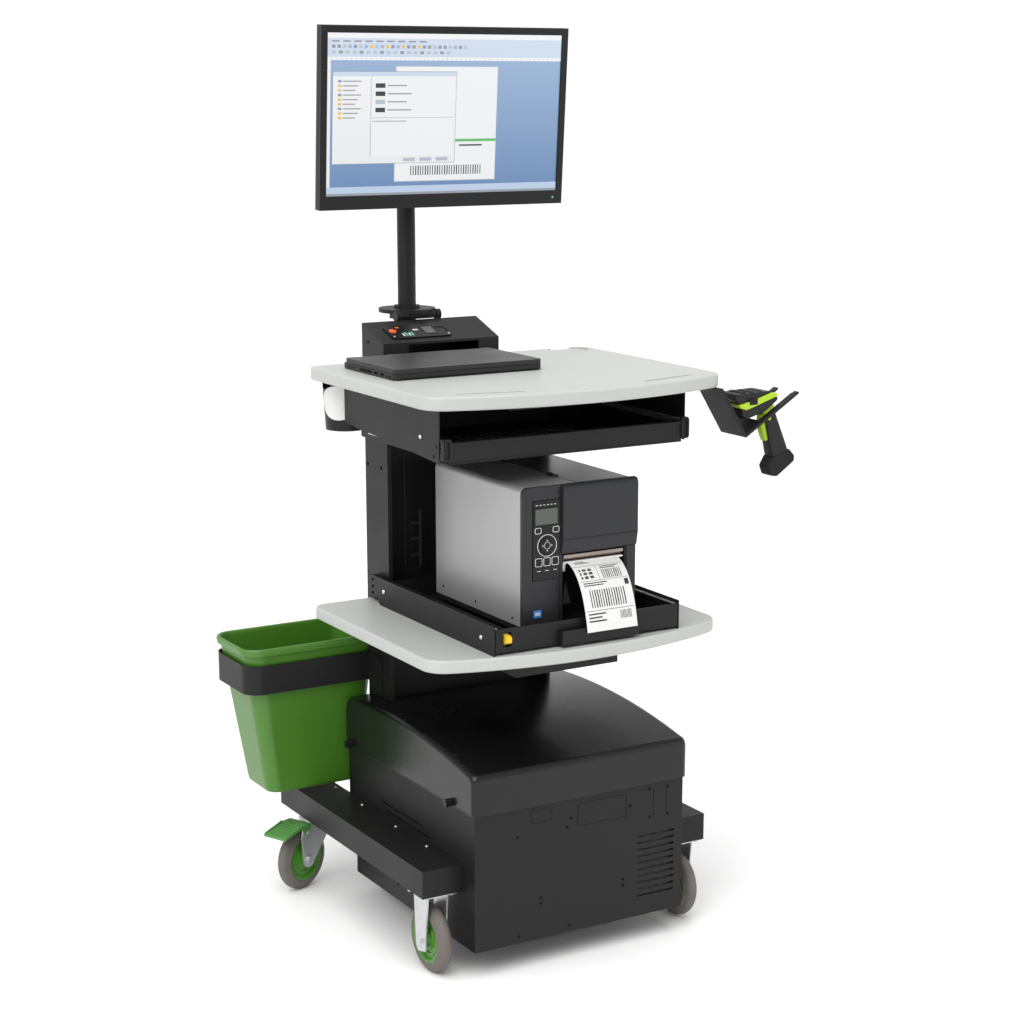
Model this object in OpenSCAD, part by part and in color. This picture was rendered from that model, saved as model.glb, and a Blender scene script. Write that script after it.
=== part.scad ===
/* [Decks] */
// Width of the worktop and of the lower shelf
deck_w = 646; // [630:1:652]
// Depth of the decks on their centre line
deck_d = 563; // [555:1:568]
// How far the front edge of a deck bows out past its corners
deck_bow = 61; // [40:1:66]
// Thickness of the deck boards
board_t = 25.4; // [22:0.1:28]
// Height of the worktop's upper face above the floor
worktop_z = 1123; // [1121:0.5:1126]
// Height of the lower shelf's upper face above the floor
shelf_z = 639.5; // [637:0.5:639.5]

/* [Base] */
// Radius of the four wheels
wheel_r = 68; // [60:0.5:69]
// Width of the tread
wheel_w = 32; // [26:1:34]
// Distance of each caster from the centre plane
caster_x = 284; // [282:0.5:286]
// Distance of the front axle, and of the rear swivels, from the origin
caster_y = 267; // [262:1:270]
// Heading of the rear left caster, the right one being its mirror image
caster_yaw = 204; // [180:1:230]
// Width of the power cabinet
cabinet_w = 474; // [470:1:474]

/* [Printer] */
// Width of the label printer
printer_w = 250; // [246:1:252]
// Width of the label stock
label_w = 112; // [60:1:114]

/* [Monitor] */
// Width of the monitor
monitor_w = 555; // [480:1:560]
// Height of the monitor
monitor_h = 352; // [330:1:356]
// Forward lean of the monitor
monitor_lean = 4.2; // [0:0.1:6]

/* [Bin] */
// Height of the waste bin
bin_h = 318; // [300:1:320]

/* [Hidden] */
$fn = 64;

// Decks
deck_half = deck_w / 2;
deck_front = -405;
deck_back = deck_front + deck_d;
bow_r = (deck_half * deck_half + deck_bow * deck_bow) / (2 * deck_bow);
front_corner_r = 50;
back_corner_r = 25;
worktop_under = worktop_z - board_t;
groove_in = 38;
groove_len = 132;
groove_w = 8;
groove_angle = asin(202 / bow_r);

// Column and cabinet
column_x = 190;
column_y = [75, 172];
column_floor = 57.2;
column_t = 2.5;
cabinet_x = cabinet_w / 2;
cabinet_y = [-354, 176];
cabinet_z = [55, 341];
corner_cut = [41, 29];
corner_cut_z = 154;
thumb_y = [-270, 155];
lid_z = 329;
lid_crown_z = 442.5;
lid_crown_r = 1650;
lid_crown_y = -20;

// Side rails
rail_y = [-308, 334];
rail_z = [166, 221];
rail_x = [cabinet_x, 324];
rail_t = 3;
rail_lip = 27;

// Casters, in a frame with the swivel on Z and the trail along +X
plate_z = rail_z[0];
plate_t = 3;
bolt_dx = 30;
bolt_dy = 28;
bolt_r = 3;
axle_r = 5;
fit_gap = 0.05;
fork_gap = 39;
fork_t = 3.5;
trail = 36;
pedal_pin = [44, 131];

// Printer tray and printer
tray_x = 190;
tray_y = [-375, 70];
tray_floor_z = 650;
printer_x = [-117, printer_w - 117];
printer_y = [-327, 10];
printer_z = [668, 937];
front_end_y = -318;
seam_x = 3.5;
platen_c = [-296, 778];
roll_c = [-110, 800];
keys_y = -329.5;
key_z = 794;
key_x = [-82.5, -64.5, -46.5];
nav_c = [-64.5, 825];

// Laptop
laptop_x = [-274, 48];
laptop_y = [-125, 95];
hinge_c = [90, worktop_z + 15];

// Control box, mast and monitor
box_x = 135;
box_y = [193, 290];
box_z = [1100.2, 1151, 1185];
mast_y = 346;
mast_r = 19;
tilt_c = [0, 236, 1602];
bezel_t = 8;
bezel_side = 14;
bezel_foot = 27;

// Scanner and its holder
holder_y = [-368, -290];
gun_y = -329;
trigger_pin = [426, 1029];

function arc(c, r, a0, a1, n) =
    [for (i = [0:n]) [c[0] + r * cos(a0 + (a1 - a0) * i / n), c[1] + r * sin(a0 + (a1 - a0) * i / n)]];

// A point on the quadratic curve through a, towards b, to c
function bend(a, b, c, t) = (1 - t) * (1 - t) * a + 2 * t * (1 - t) * b + t * t * c;

// The curve's unit normal at t
function bend_normal(a, b, c, t) =
    let (d = (1 - t) * (b - a) + t * (c - b)) [d[1], -d[0]] / norm(d);

// A box given by its limits along each axis
module span(x, y, z) translate([x[0], y[0], z[0]]) cube([x[1] - x[0], y[1] - y[0], z[1] - z[0]]);

// A round bar along X or along Y
module bar_x(x, c, r) translate([x[0], c[0], c[1]]) rotate([0, 90, 0]) cylinder(r = r, h = x[1] - x[0]);
module bar_y(y, c, r) translate([c[0], y[1], c[1]]) rotate([90, 0, 0]) cylinder(r = r, h = y[1] - y[0]);

// A flat outline, drawn as (y, z) or (x, z), given thickness along X or along Y
module slab_x(x) translate([x[0], 0, 0]) rotate([90, 0, 90]) linear_extrude(x[1] - x[0]) children();
module slab_y(y) translate([0, y[1], 0]) rotate([90, 0, 0]) linear_extrude(y[1] - y[0]) children();

module both_sides() {
    children();
    mirror([1, 0, 0]) children();
}

module rounded_box(x, y, z, r) translate([0, 0, z[0]]) linear_extrude(z[1] - z[0]) rounded_outline(x, y, r);

module rounded_outline(x, y, r)
    polygon(concat(arc([x[1] - r, y[1] - r], r, 0, 90, 6), arc([x[0] + r, y[1] - r], r, 90, 180, 6),
        arc([x[0] + r, y[0] + r], r, 180, 270, 6), arc([x[1] - r, y[0] + r], r, 270, 360, 6)));

// ---- Decks

module deck_outline() {
    r = front_corner_r;
    bow_c = [0, deck_front + bow_r];
    corner = [deck_half - r, bow_c[1] - sqrt(pow(bow_r - r, 2) - pow(deck_half - r, 2))];
    a = atan2(corner[1] - bow_c[1], corner[0]);
    back = [deck_half - back_corner_r, deck_back - back_corner_r];
    polygon(concat(
        arc([-corner[0], corner[1]], r, 180, 180 - a, 8), arc(bow_c, bow_r, 180 - a, 360 + a, 30),
        arc(corner, r, 360 + a, 360, 8), arc(back, back_corner_r, 0, 90, 6),
        arc([-back[0], back[1]], back_corner_r, 90, 180, 6)));
}

module groove(side)
    translate([0, deck_front + bow_r, worktop_z - 3]) rotate(side * groove_angle)
        translate([0, groove_in - bow_r, 0]) linear_extrude(4) {
            square([groove_len - groove_w, groove_w], center = true);
            for (s = [-1, 1]) translate([s * (groove_len - groove_w) / 2, 0]) circle(r = groove_w / 2);
        }

module lower_shelf() color("lightgray") translate([0, 0, shelf_z - board_t]) linear_extrude(board_t)
    difference() {
        deck_outline();
        translate([-column_x - 1, column_y[0] - 1]) square([2 * column_x + 2, 200]);
    }

module worktop() color("lightgray") difference() {
    translate([0, 0, worktop_under]) linear_extrude(board_t) deck_outline();
    translate([262, 122, worktop_z - 4]) cylinder(r = 42, h = 5);
    for (side = [-1, 1]) groove(side);
}

// A channel from the column that carries the front of the lower shelf
module shelf_bracket() color("#2b2b2d") difference() {
    top = shelf_z - board_t;
    span([-115, 115], [-300, column_y[0]], [top - 46, top]);
    span([-112, 112], [-297, column_y[0] - 3], [top - 47, top - 3]);
}

// ---- Column and cabinet

module column() color("#262628") difference() {
    x = column_x;
    y = column_y;
    t = column_t;
    z = [column_floor, worktop_under];
    cut = [z[0] - 1, z[1] + 1];
    span([-x, x], y, z);
    span([t - x, x - t], [y[0] + 41, y[1] - t], cut);
    span([t - x, x - t], [y[0] + t, y[0] + 38], cut);
    span([-181, 181], [y[0] - 1, y[0] + t + 1], cut);
    for (hole_y = [y[0] + 27, y[1] - 11]) bar_x([-x - 1, t - x + 1], [hole_y, 916], 4);
}

// Its plan below the corner cuts that let the rear casters swivel
module cabinet_foot(in, foot, head) translate([0, 0, foot]) linear_extrude(head - foot) {
    x = cabinet_x - in;
    y = [cabinet_y[0] + in, cabinet_y[1] - in];
    polygon([[-x, y[0]], [x, y[0]], [x, y[1] - corner_cut[1]], [x - corner_cut[0], y[1]],
        [corner_cut[0] - x, y[1]], [-x, y[1] - corner_cut[1]]]);
}

module cabinet() color("#2a2a2c") difference() {
    x = cabinet_x;
    y = cabinet_y;
    z = cabinet_z;
    t = 2;
    union() {
        cabinet_foot(0, z[0], z[1]);
        span([-x, x], y, [corner_cut_z, z[1]]);
    }
    cabinet_foot(t, z[0] + t, z[1] + 1);
    span([t - x, x - t], [y[0] + t, y[1] - t], [corner_cut_z + t, z[1] + 1]);
    for (i = [0:9]) span([131, 218], [y[0] - 1, y[0] + t + 1], [95 + 13.8 * i, 99.5 + 13.8 * i]);
    for (s = [-1, 1], row = [[-145, 28, 244], [-177, 6, 229]])
        translate([s * x, 0, 0]) span([-t - 1, t + 1], [row[0], row[1]], [row[2], row[2] + 4]);
    for (s = [-1, 1], screw_y = thumb_y) bar_x([s * x - 3, s * x + 3], [screw_y, 334], 3 + fit_gap);
}

function lid_top(y, drop) =
    lid_crown_z - drop - lid_crown_r + sqrt(lid_crown_r * lid_crown_r - pow(y - lid_crown_y, 2));

module lid_profile(in, foot) {
    y = [cabinet_y[0] - 6 + in, cabinet_y[1] + 6 - in];
    front_r = 14 - in;
    back_r = 26 - in;
    front = [y[0] + front_r, lid_top(y[0] + front_r, in) - front_r];
    back = [y[1] - back_r, lid_top(y[1] - back_r, in) - back_r];
    steps = 16;
    polygon(concat([[y[1], foot]], arc(back, back_r, 0, 85, 6),
        [for (i = [1:steps]) let (u = back[0] + (front[0] - back[0]) * i / steps) [u, lid_top(u, in)]],
        arc(front, front_r, 95, 180, 6), [[y[0], foot]]));
}

module cabinet_lid() color("#1c1c1e") difference() {
    x = cabinet_x + 6;
    t = 4;
    slab_x([-x, x]) lid_profile(0, lid_z);
    slab_x([t - x, x - t]) lid_profile(t, lid_z - 1);
    span([-column_x - 3, column_x + 3], [column_y[0] - 3, 400], [lid_z - 1, 500]);
    for (s = [-1, 1], screw_y = thumb_y) bar_x([s * x - 5, s * x + 5], [screw_y, 334], 3 + fit_gap);
}

// Fluted knobs that hold the lid to the cabinet's side walls
module thumb_screws() color("#161616") both_sides() for (screw_y = thumb_y) {
    bar_x([cabinet_x - 6, cabinet_x + 8], [screw_y, 334], 3);
    translate([cabinet_x + 6, screw_y, 334]) rotate([0, 90, 0]) difference() {
        cylinder(r = 8, h = 12);
        for (i = [0:11]) rotate(30 * i) translate([8.6, 0, 2]) cylinder(r = 1.4, h = 11);
    }
}

module batteries() color("#3c4a5c") for (x = [[-224, -56], [-50, 118]]) {
    span(x, [-275, 55], [57.2, 262]);
    for (post_x = [x[0] + 30, x[1] - 30]) translate([post_x, 30, 262]) cylinder(r = 8, h = 10);
}

module inverter() color("#5b5e62") span([126, 230], [-345, 55], [57.2, 222]);

// ---- Side rails and casters

module base_rail() difference() {
    x = rail_x;
    y = rail_y;
    z = rail_z;
    t = rail_t;
    span(x, y, z);
    span([x[0] + t, x[1] - t], [y[0] + t, y[1] - t], [z[0] + t, z[1] - t]);
    span([x[0] + rail_lip, x[1] - rail_lip], [y[0] + t, y[1] - t], [z[0] - 1, z[0] + t + 1]);
    caster_holes() translate([0, 0, z[0] - 1]) cylinder(r = bolt_r + 0.3, h = t + 2);
    for (screw_y = [-190, -60, 90, 215])
        translate([x[0] + 14, screw_y, z[1] - t - 1]) cylinder(r = 2.5, h = 5);
}

module base_rail_right() color("#2e2e30") base_rail();
module base_rail_left() color("#2e2e30") mirror([1, 0, 0]) base_rail();

module caster_holes() for (y = [-caster_y, caster_y], dx = [-bolt_dx, bolt_dx], dy = [-bolt_dy, bolt_dy])
    translate([caster_x + dx, y + dy, 0]) children();

module caster_plate() difference() {
    span([-36, 36], [-bolt_dy - 10, bolt_dy + 10], [plate_z - plate_t, plate_z]);
    for (dx = [-bolt_dx, bolt_dx], dy = [-bolt_dy, bolt_dy])
        translate([dx, dy, plate_z - plate_t - 1]) cylinder(r = bolt_r + 0.3, h = plate_t + 2);
}

module front_fork() translate([caster_x, -caster_y, 0]) {
    caster_plate();
    for (s = [-1, 1]) difference() {
        slab_x([s * (fork_gap + fork_t) / 2 - fork_t / 2, s * (fork_gap + fork_t) / 2 + fork_t / 2])
            polygon([[-28, plate_z - plate_t], [28, plate_z - plate_t], [20, 52], [12, wheel_r - 27],
                [-17, wheel_r - 20]]);
        bar_x([-30, 30], [0, wheel_r], axle_r + fit_gap);
    }
}

module front_caster_forks() color("#d3d6d8") both_sides() front_fork();

// Hexagon bolts through the caster plates and rail lips, and the two front axles
module caster_fasteners() color("#c9ccce") {
    both_sides() caster_holes() {
        translate([0, 0, plate_z - plate_t - 4]) cylinder(r = 5.8, h = 4, $fn = 6);
        translate([0, 0, plate_z - plate_t - 1]) cylinder(r = bolt_r, h = 12);
        translate([0, 0, plate_z + rail_t]) cylinder(r = 5.8, h = 5, $fn = 6);
    }
    both_sides() translate([caster_x, 0, 0]) {
        bar_x([-29, 29], [-caster_y, wheel_r], axle_r);
        for (x = [[-29, -23], [23, 29]]) translate([x[0], -caster_y, wheel_r]) rotate([0, 90, 0])
            cylinder(r = 9, h = 6, $fn = 6);
    }
}

// A moulded core with a crowned tread, turned about Z
module wheel_solid() {
    w = wheel_w / 2;
    rotate_extrude($fn = 72) {
        polygon([[axle_r + fit_gap, -17], [13, -17], [15, -9], [40, -7], [44, -w + 2], [48, -w + 2],
            [48, w - 2], [44, w - 2], [40, 7], [15, 9], [13, 17], [axle_r + fit_gap, 17]]);
        polygon(concat([[48, 2 - w], [52, -w]], arc([wheel_r - 13, 0], 13, -58, 58, 8),
            [[52, w], [48, w - 2]]));
    }
}

module front_wheel() translate([caster_x, -caster_y, wheel_r]) rotate([0, 90, 0]) wheel_solid();
module at_rear_left() translate([-caster_x, caster_y, 0]) rotate(caster_yaw) children();
module rear_wheel() translate([trail, 0, wheel_r]) rotate([90, 0, 0]) wheel_solid();

module wheel_front_right() color("#5d5a57") front_wheel();
module wheel_front_left() color("#5d5a57") mirror([1, 0, 0]) front_wheel();
module wheel_rear_left() color("#5d5a57") at_rear_left() rear_wheel();
module wheel_rear_right() color("#5d5a57") mirror([1, 0, 0]) at_rear_left() rear_wheel();

// Top plate with the upper ball race and the king pin
module rear_plate() translate([-caster_x, caster_y, 0]) {
    caster_plate();
    translate([0, 0, 151]) cylinder(r1 = 27, r2 = 31, h = plate_z - plate_t - 151);
    translate([0, 0, 134.5]) cylinder(r = 7, h = 20);
}

module rear_caster_plates() color("#d3d6d8") both_sides() rear_plate();

module swivel_fork() {
    half = fork_gap / 2;
    difference() {
        union() {
            translate([0, 0, 137]) cylinder(r = 30, h = 3.5);
            translate([0, 0, 140.5]) cylinder(r1 = 31, r2 = 27, h = 10);
            for (s = [-1, 1]) translate([0, s * (half + fork_t / 2), 0]) rotate([90, 0, 0])
                linear_extrude(fork_t, center = true)
                    polygon(concat([[-29, 140.5], [-31, 118]], arc([trail, wheel_r], 18, 200, 350, 10),
                        [[58, 120], [54, 138], [30, 140.5]]));
            for (s = [-1, 1]) translate([-14, s * half - (s < 0 ? fork_t : 0), 137]) cube([34, fork_t, 3.5]);
        }
        translate([0, 0, 130]) cylinder(r = 7 + fit_gap, h = 30);
    }
    bar_y([-28, 28], [trail, wheel_r], axle_r);
    for (s = [-1, 1]) bar_y(s < 0 ? [-28, -half - 1] : [half + 1, 28], pedal_pin, 3);
    for (y = [[-29, -23], [23, 29]]) bar_y(y, [trail, wheel_r], 8.5);
}

module swivel_fork_left() color("#b9bcbe") at_rear_left() swivel_fork();
module swivel_fork_right() color("#b9bcbe") mirror([1, 0, 0]) at_rear_left() swivel_fork();

// Foot lever that carries the brake shoe over the tread
module brake_pedal() {
    slab_y([-30, 30]) polygon([[35, 144], [60, 145], [118, 132], [118, 136], [60, 149.5], [35, 149]]);
    slab_y([-12, 12]) polygon([[84, 143], [98, 139.5], [98, 128], [84, 128]]);
    for (y = [[-27.5, -24], [24, 27.5]]) difference() {
        slab_y(y) polygon(concat([[35, 145], [35, 131]], arc(pedal_pin, 8, 180, 350, 8), [[66, 145]]));
        bar_y([y[0] - 1, y[1] + 1], pedal_pin, 3 + fit_gap);
    }
}

module brake_pedal_left() color("#49a02c") at_rear_left() brake_pedal();
module brake_pedal_right() color("#49a02c") mirror([1, 0, 0]) at_rear_left() brake_pedal();

// ---- Keyboard drawer

module drawer_housing() color("#29292b") {
    side = [[-290, worktop_under], [97, worktop_under], [97, 1015], [-150, 1001], [-290, 991]];
    both_sides() {
        difference() {
            slab_x([269, 271]) polygon(side);
            for (c = [[-278, 1020], [-268, 1002]]) bar_x([268, 272], c, 3);
        }
        span([249, 269], [-290, 73], [worktop_under - 2, worktop_under]);
    }
    span([-269, 269], [71, 73], [1015, worktop_under - 2]);
}

// Fixed members of the ball slides, on the drawer housing and on the printer cradle
module slide_rails() color("#a9acae") both_sides() {
    fixed_rail([258, 268.9], [-285, 0], [1006, 1033]);
    fixed_rail([193, 203.4], [-366, 60], [656, 690]);
}

module fixed_rail(x, y, z) difference() {
    span(x, y, z);
    span([x[0] - 1, x[1] - 1.5], [y[0] - 1, y[1] + 1], [z[0] + 2, z[1] - 2]);
}

// Low tray on the inner slide members, with the finger grips at its front corners
module keyboard_drawer() color("#242426") {
    floor_z = 992;
    span([-252, 252], [-300, 60], [floor_z, floor_z + 2]);
    span([-252, 252], [58, 60], [floor_z + 2, floor_z + 28]);
    span([-255, 255], [-302, -300], [990, 1030]);
    span([-255, 255], [-300, -288], [1028, 1030]);
    both_sides() {
        span([252, 254], [-288, 60], [floor_z, floor_z + 30]);
        span([254, 266.8], [-284, 60], [1009, 1021]);
        slab_y([-304, -296]) rounded_outline([253, 271], [996, 1038], 5);
    }
}

module keyboard() color("#1b1b1d") {
    span([-225, 215], [-270, -120], [994.2, 1008]);
    for (i = [0:4]) span([-218, 208], [-264 + 28 * i, -241 + 28 * i], [1008, 1014]);
}

// ---- Printer tray

module printer_cradle() color("#2a2a2c") {
    z = [shelf_z + 0.1, 696];
    both_sides() {
        difference() {
            slab_x([203.5, 206]) polygon([[-375, z[0]], [84, z[0]], [96, z[0] + 14], [139, z[0] + 14],
                [139, z[1]], [-375, z[1]]]);
            for (screw_z = [660, 673, 687]) bar_x([203, 207], [116, screw_z], 2.5);
        }
        span([182, 203.5], [-365, 70], [z[0], z[0] + 2.4]);
        span([column_x, 203.5], [98, 136], [656, 692]);
    }
}

module printer_tray() color("#262628") {
    z = tray_floor_z;
    difference() {
        union() {
            span([-tray_x + 2, tray_x - 2], [-372.5, tray_y[1]], [z, z + 2]);
            span([-202, 202], [tray_y[0], -372.5], [645, 690]);
        }
        span([-187, -169], [-376, -370], [655, 683]);
    }
    span([-tray_x + 2, tray_x - 2], [tray_y[1] - 2, tray_y[1]], [z + 2, z + 40]);
    both_sides() {
        span([tray_x - 2, tray_x], [-372.5, tray_y[1]], [z, z + 42]);
        span([tray_x, 201.4], [-366, 60], [665, 681]);
    }
    for (x = [[-187.9, -185.2], [-170.8, -168.2]]) difference() {
        span(x, [-372.5, -358], [z + 2, 675]);
        bar_x([x[0] - 1, x[1] + 1], [-366, 669], 2.5 + fit_gap);
    }
    span([-67, 104], [-390, tray_y[0]], [645, 647.5]);
    span([-67, 104], [-390, -387.5], [647.5, 673]);
    for (x = [[-67, -64.5], [101.5, 104]]) span(x, [-387.5, tray_y[0]], [647.5, 673]);
}

module tray_latch() color("#e6c21f") {
    slab_x([-184, -172]) polygon(concat(arc([-366, 669], 9, -90, 90, 8), [[-380, 676], [-383, 673],
        [-383, 665], [-380, 662]]));
    bar_x([-187.9, -168.2], [-366, 669], 2.5);
}

// ---- Label printer

module printer_chassis() color("#4b4d50") {
    x = printer_x;
    span([x[0] + 2, x[1] - 2], [-300, printer_y[1]], [662, 672]);
    for (foot_x = [x[0] + 22, x[1] - 22], foot_y = [-240, -20])
        translate([foot_x, foot_y, tray_floor_z + 2]) cylinder(r = 9, h = 10);
    span([x[0] + 4, x[1] - 4], [printer_y[1] - 3, printer_y[1]], [672, 927]);
    span([x[1] - 3.4, x[1] - 0.4], [front_end_y + 0.5, printer_y[1] - 3], [672, 702]);
    difference() {
        span([-35, -32], [-312, printer_y[1] - 3], [672, 927]);
        bar_x([-36, -31], platen_c, 4 + fit_gap);
    }
    difference() {
        span([104, 107], [-308, -240], [750, 802]);
        bar_x([103, 108], platen_c, 4 + fit_gap);
    }
    span([-32, 107], [-300, -262], [789, 802]);
    span([-32, 107], [-262, -240], [744, 750]);
    bar_x([-32, 112], roll_c, 18.9);
    bar_x([112, 115], roll_c, 30);
    span([-112, -52], [-250, -20], [690, 860]);
}

// Left side and left half of the top, folded from one sheet
module printer_cover() color("#b9bcc0") {
    x = printer_x[0];
    top = printer_z[1];
    slab_y([front_end_y, printer_y[1]]) polygon(concat([[x, 672], [x + 3, 672]],
        arc([x + 12, top - 12], 9, 180, 90, 6), [[seam_x, top - 3], [seam_x, top]],
        arc([x + 12, top - 12], 12, 90, 180, 6)));
}

module printer_front() color("#2f3134") difference() {
    x = printer_x;
    z = printer_z;
    y = [printer_y[0], front_end_y - 0.3];
    slab_y(y) polygon(concat([[x[0], z[0]], [x[1], z[0]]], arc([x[1] - 12, z[1] - 12], 12, 0, 90, 6),
        arc([x[0] + 12, z[1] - 12], 12, 90, 180, 6)));
    span([-29, 110], [y[0] - 1, y[1] + 1], [z[0] - 1, 805]);
    span([-95, -36], [y[0] - 1, y[0] + 6], [759, 911]);
}

// Hinged top leaf of the media door
module media_door_top() color("#55585c") {
    x = printer_x[1];
    top = printer_z[1];
    slab_y([front_end_y + 0.5, printer_y[1]]) polygon(concat([[seam_x + 1.5, top], [seam_x + 1.5, top - 3]],
        arc([x - 12, top - 12], 9, 90, 0, 6), arc([x - 12, top - 12], 12, 0, 90, 6)));
    for (y = [[-235, -195], [-60, -20]]) bar_y(y, [seam_x + 3, top + 1.4], 2.4);
}

// Side leaf, hinged to the top leaf along its upper edge
module media_door_side() color("#4a4d50") {
    x = printer_x[1];
    y = [front_end_y + 0.5, printer_y[1]];
    span([x - 3, x], y, [705, printer_z[1] - 14]);
    bar_y(y, [x - 1.5, printer_z[1] - 13.5], 1.4);
}

module key_holes() {
    bar_y([-340, -310], nav_c, 15.4);
    for (x = key_x) bar_y([-340, -310], [x, key_z], 6.4);
}

module control_panel() color("#101012") difference() {
    slab_y([-328, -325]) rounded_outline([-94.7, -36.3], [759.3, 910.7], 4);
    key_holes();
    span([-92, -39], [-329, -326.6], [863, 897]);
}

module nav_pad() color("#1a1a1c") {
    bar_y([keys_y, -323], nav_c, 15);
    bar_y([keys_y - 0.5, keys_y], nav_c, 5.5);
}

module panel_key(x) bar_y([keys_y, -323], [x, key_z], 6);
module pause_key() color("#1a1a1c") panel_key(key_x[0]);
module feed_key() color("#1a1a1c") panel_key(key_x[1]);
module cancel_key() color("#1a1a1c") panel_key(key_x[2]);

module platen_roller() color("#303030") {
    bar_x([-24, 101], platen_c, 9);
    bar_x([-34.5, 106.5], platen_c, 4);
}

module label_roll() color("#efefec") difference() {
    bar_x([-9, 105], roll_c, 62);
    bar_x([-10, 106], roll_c, 19);
}

// Printed labels hanging out over the front of the tray
module label_strip() color("white") {
    a = [-304.5, 787.6];
    b = [-372, 784];
    c = [-394, 664];
    t = 0.8;
    n = 14;
    slab_x([-15, label_w - 15]) polygon(concat(
        [for (i = [0:n]) bend(a, b, c, i / n)],
        [for (i = [n:-1:0]) bend(a, b, c, i / n) + t * bend_normal(a, b, c, i / n)]));
}

// ---- Laptop

module laptop_base() color("#2d2d30") {
    x = laptop_x;
    z = worktop_z;
    difference() {
        rounded_box(x, laptop_y, [z + 1.5, z + 12], 9);
        for (w = [[-242, -188], [-32, 22]]) span(w, [hinge_c[0] - 6, 100], [z + 8, z + 13]);
        for (i = [0:3]) span([x[0] - 1, x[0] + 6], [-80 + 26 * i, -66 + 26 * i], [z + 5, z + 9]);
    }
    for (fx = [x[0] + 25, x[1] - 25], fy = [laptop_y[0] + 18, laptop_y[1] - 25])
        translate([fx, fy, z]) cylinder(r = 6, h = 1.5);
    for (w = [[-242, -188], [-32, 22]]) {
        bar_x([w[0] - 1, w[0] + 9], hinge_c, 1.5);
        bar_x([w[1] - 9, w[1] + 1], hinge_c, 1.5);
        for (end = [[w[0] - 4, w[0]], [w[1], w[1] + 4]])
            span(end, [hinge_c[0] - 3, hinge_c[0] + 3], [z + 12, hinge_c[1] + 2.5]);
    }
}

module laptop_lid() color("#29292c") {
    z = worktop_z;
    difference() {
        rounded_box(laptop_x, [laptop_y[0], hinge_c[0] - 4], [z + 12.5, z + 21.5], 9);
        for (w = [[-247, -183], [-37, 27]]) span(w, [hinge_c[0] - 8, 100], [z + 12, z + 22]);
    }
    for (w = [[-240, -190], [-30, 20]]) difference() {
        union() {
            bar_x(w, hinge_c, 4.5);
            span(w, [hinge_c[0] - 10, hinge_c[0]], [z + 15, z + 19]);
        }
        bar_x([w[0] - 1, w[1] + 1], hinge_c, 1.5 + fit_gap);
    }
}

// ---- Control box and mast

module box_outline(in) polygon([[box_y[0] + in, box_z[0] + in], [box_y[1] - in, box_z[0] + in],
    [box_y[1] - in, box_z[2] - 1.3 * in], [box_y[0] + in, box_z[1] - 1.2 * in]]);

module on_slope()
    translate([0, box_y[0], box_z[1]])
        rotate([atan2(box_z[2] - box_z[1], box_y[1] - box_y[0]), 0, 0]) children();

module control_box() color("#232325") difference() {
    slab_x([-box_x, box_x]) box_outline(0);
    slab_x([2 - box_x, box_x - 2]) box_outline(2);
    span([-77, 86], [box_y[0] - 1, box_y[0] + 3], [1128, 1146]);
    on_slope() translate([-91, 48, -4]) cylinder(r = 8.4, h = 6);
}

// Charge meter on the sloping top
module meter_panel() color("#15161a") on_slope() difference() {
    translate([0, 0, 0.1]) linear_extrude(3) rounded_outline([-104, 34], [16, 74], 8);
    translate([-91, 48, -1]) cylinder(r = 8.4, h = 6);
    for (x = [-22, 8]) translate([x, 32, 1.6]) linear_extrude(3) rounded_outline([0, 24], [0, 26], 3);
}

module power_button() color("#d2622a") on_slope() {
    translate([-91, 48, 0.6]) cylinder(r = 8, h = 4);
    translate([-91, 48, -3.4]) cylinder(r = 5, h = 4);
}

// Channel from the back of the column that carries the control box and the mast
module mast_bracket() color("#2b2b2d") difference() {
    x = 70;
    y = [column_y[1], 386];
    z = [1040, box_z[0]];
    span([-x, x], y, z);
    span([3 - x, x - 3], [y[0] + 3, y[1] + 1], [z[0] + 3, z[1] - 3]);
    translate([0, mast_y, z[0] - 1]) cylinder(r = mast_r + fit_gap, h = 80);
    for (s = [-1, 1]) span([s * 45 - 6, s * 45 + 6], [y[0] - 1, y[0] + 4], [1062, 1078]);
}

module mast() color("#2a2a2c") translate([0, mast_y, 1036]) difference() {
    cylinder(r = mast_r, h = 624);
    translate([0, 0, -1]) cylinder(r = mast_r - 2.5, h = 622);
}

// Round plate on the mast with a front bar between two knuckles
module mast_collar() color("#2f2f32") {
    difference() {
        union() {
            translate([0, mast_y, 1196]) cylinder(r = 60, h = 8);
            translate([0, mast_y, 1188]) cylinder(r = 27, h = 22);
            both_sides() span([42, 50], [300, 330], [1186, 1201]);
        }
        translate([0, mast_y, 1180]) cylinder(r = mast_r + fit_gap, h = 40);
    }
    both_sides() bar_x([42, 52], [300, 1192.5], 11);
    bar_x([-42, 42], [300, 1192.5], 8);
}

module height_collar() color("#1f1f21") {
    z = tilt_c[2] - 66;
    difference() {
        translate([0, mast_y, z]) cylinder(r = 27, h = 26);
        translate([0, mast_y, z - 1]) cylinder(r = mast_r + fit_gap, h = 28);
    }
    bar_x([26, 44], [mast_y, z + 13], 4);
    bar_x([44, 54], [mast_y, z + 13], 13);
}

module monitor_arm() color("#222224") {
    z = [tilt_c[2] - 39.7, tilt_c[2] + 24];
    difference() {
        union() {
            translate([0, mast_y, z[0]]) cylinder(r = 26, h = z[1] - z[0]);
            span([-11, 11], [tilt_c[1], mast_y - 20], [tilt_c[2] - 14, tilt_c[2] + 14]);
            bar_x([-11, 11], [tilt_c[1], tilt_c[2]], 14);
        }
        translate([0, mast_y, z[0] - 1]) cylinder(r = mast_r + fit_gap, h = 80);
        bar_x([-12, 12], [tilt_c[1], tilt_c[2]], 5 + fit_gap);
    }
}

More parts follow.
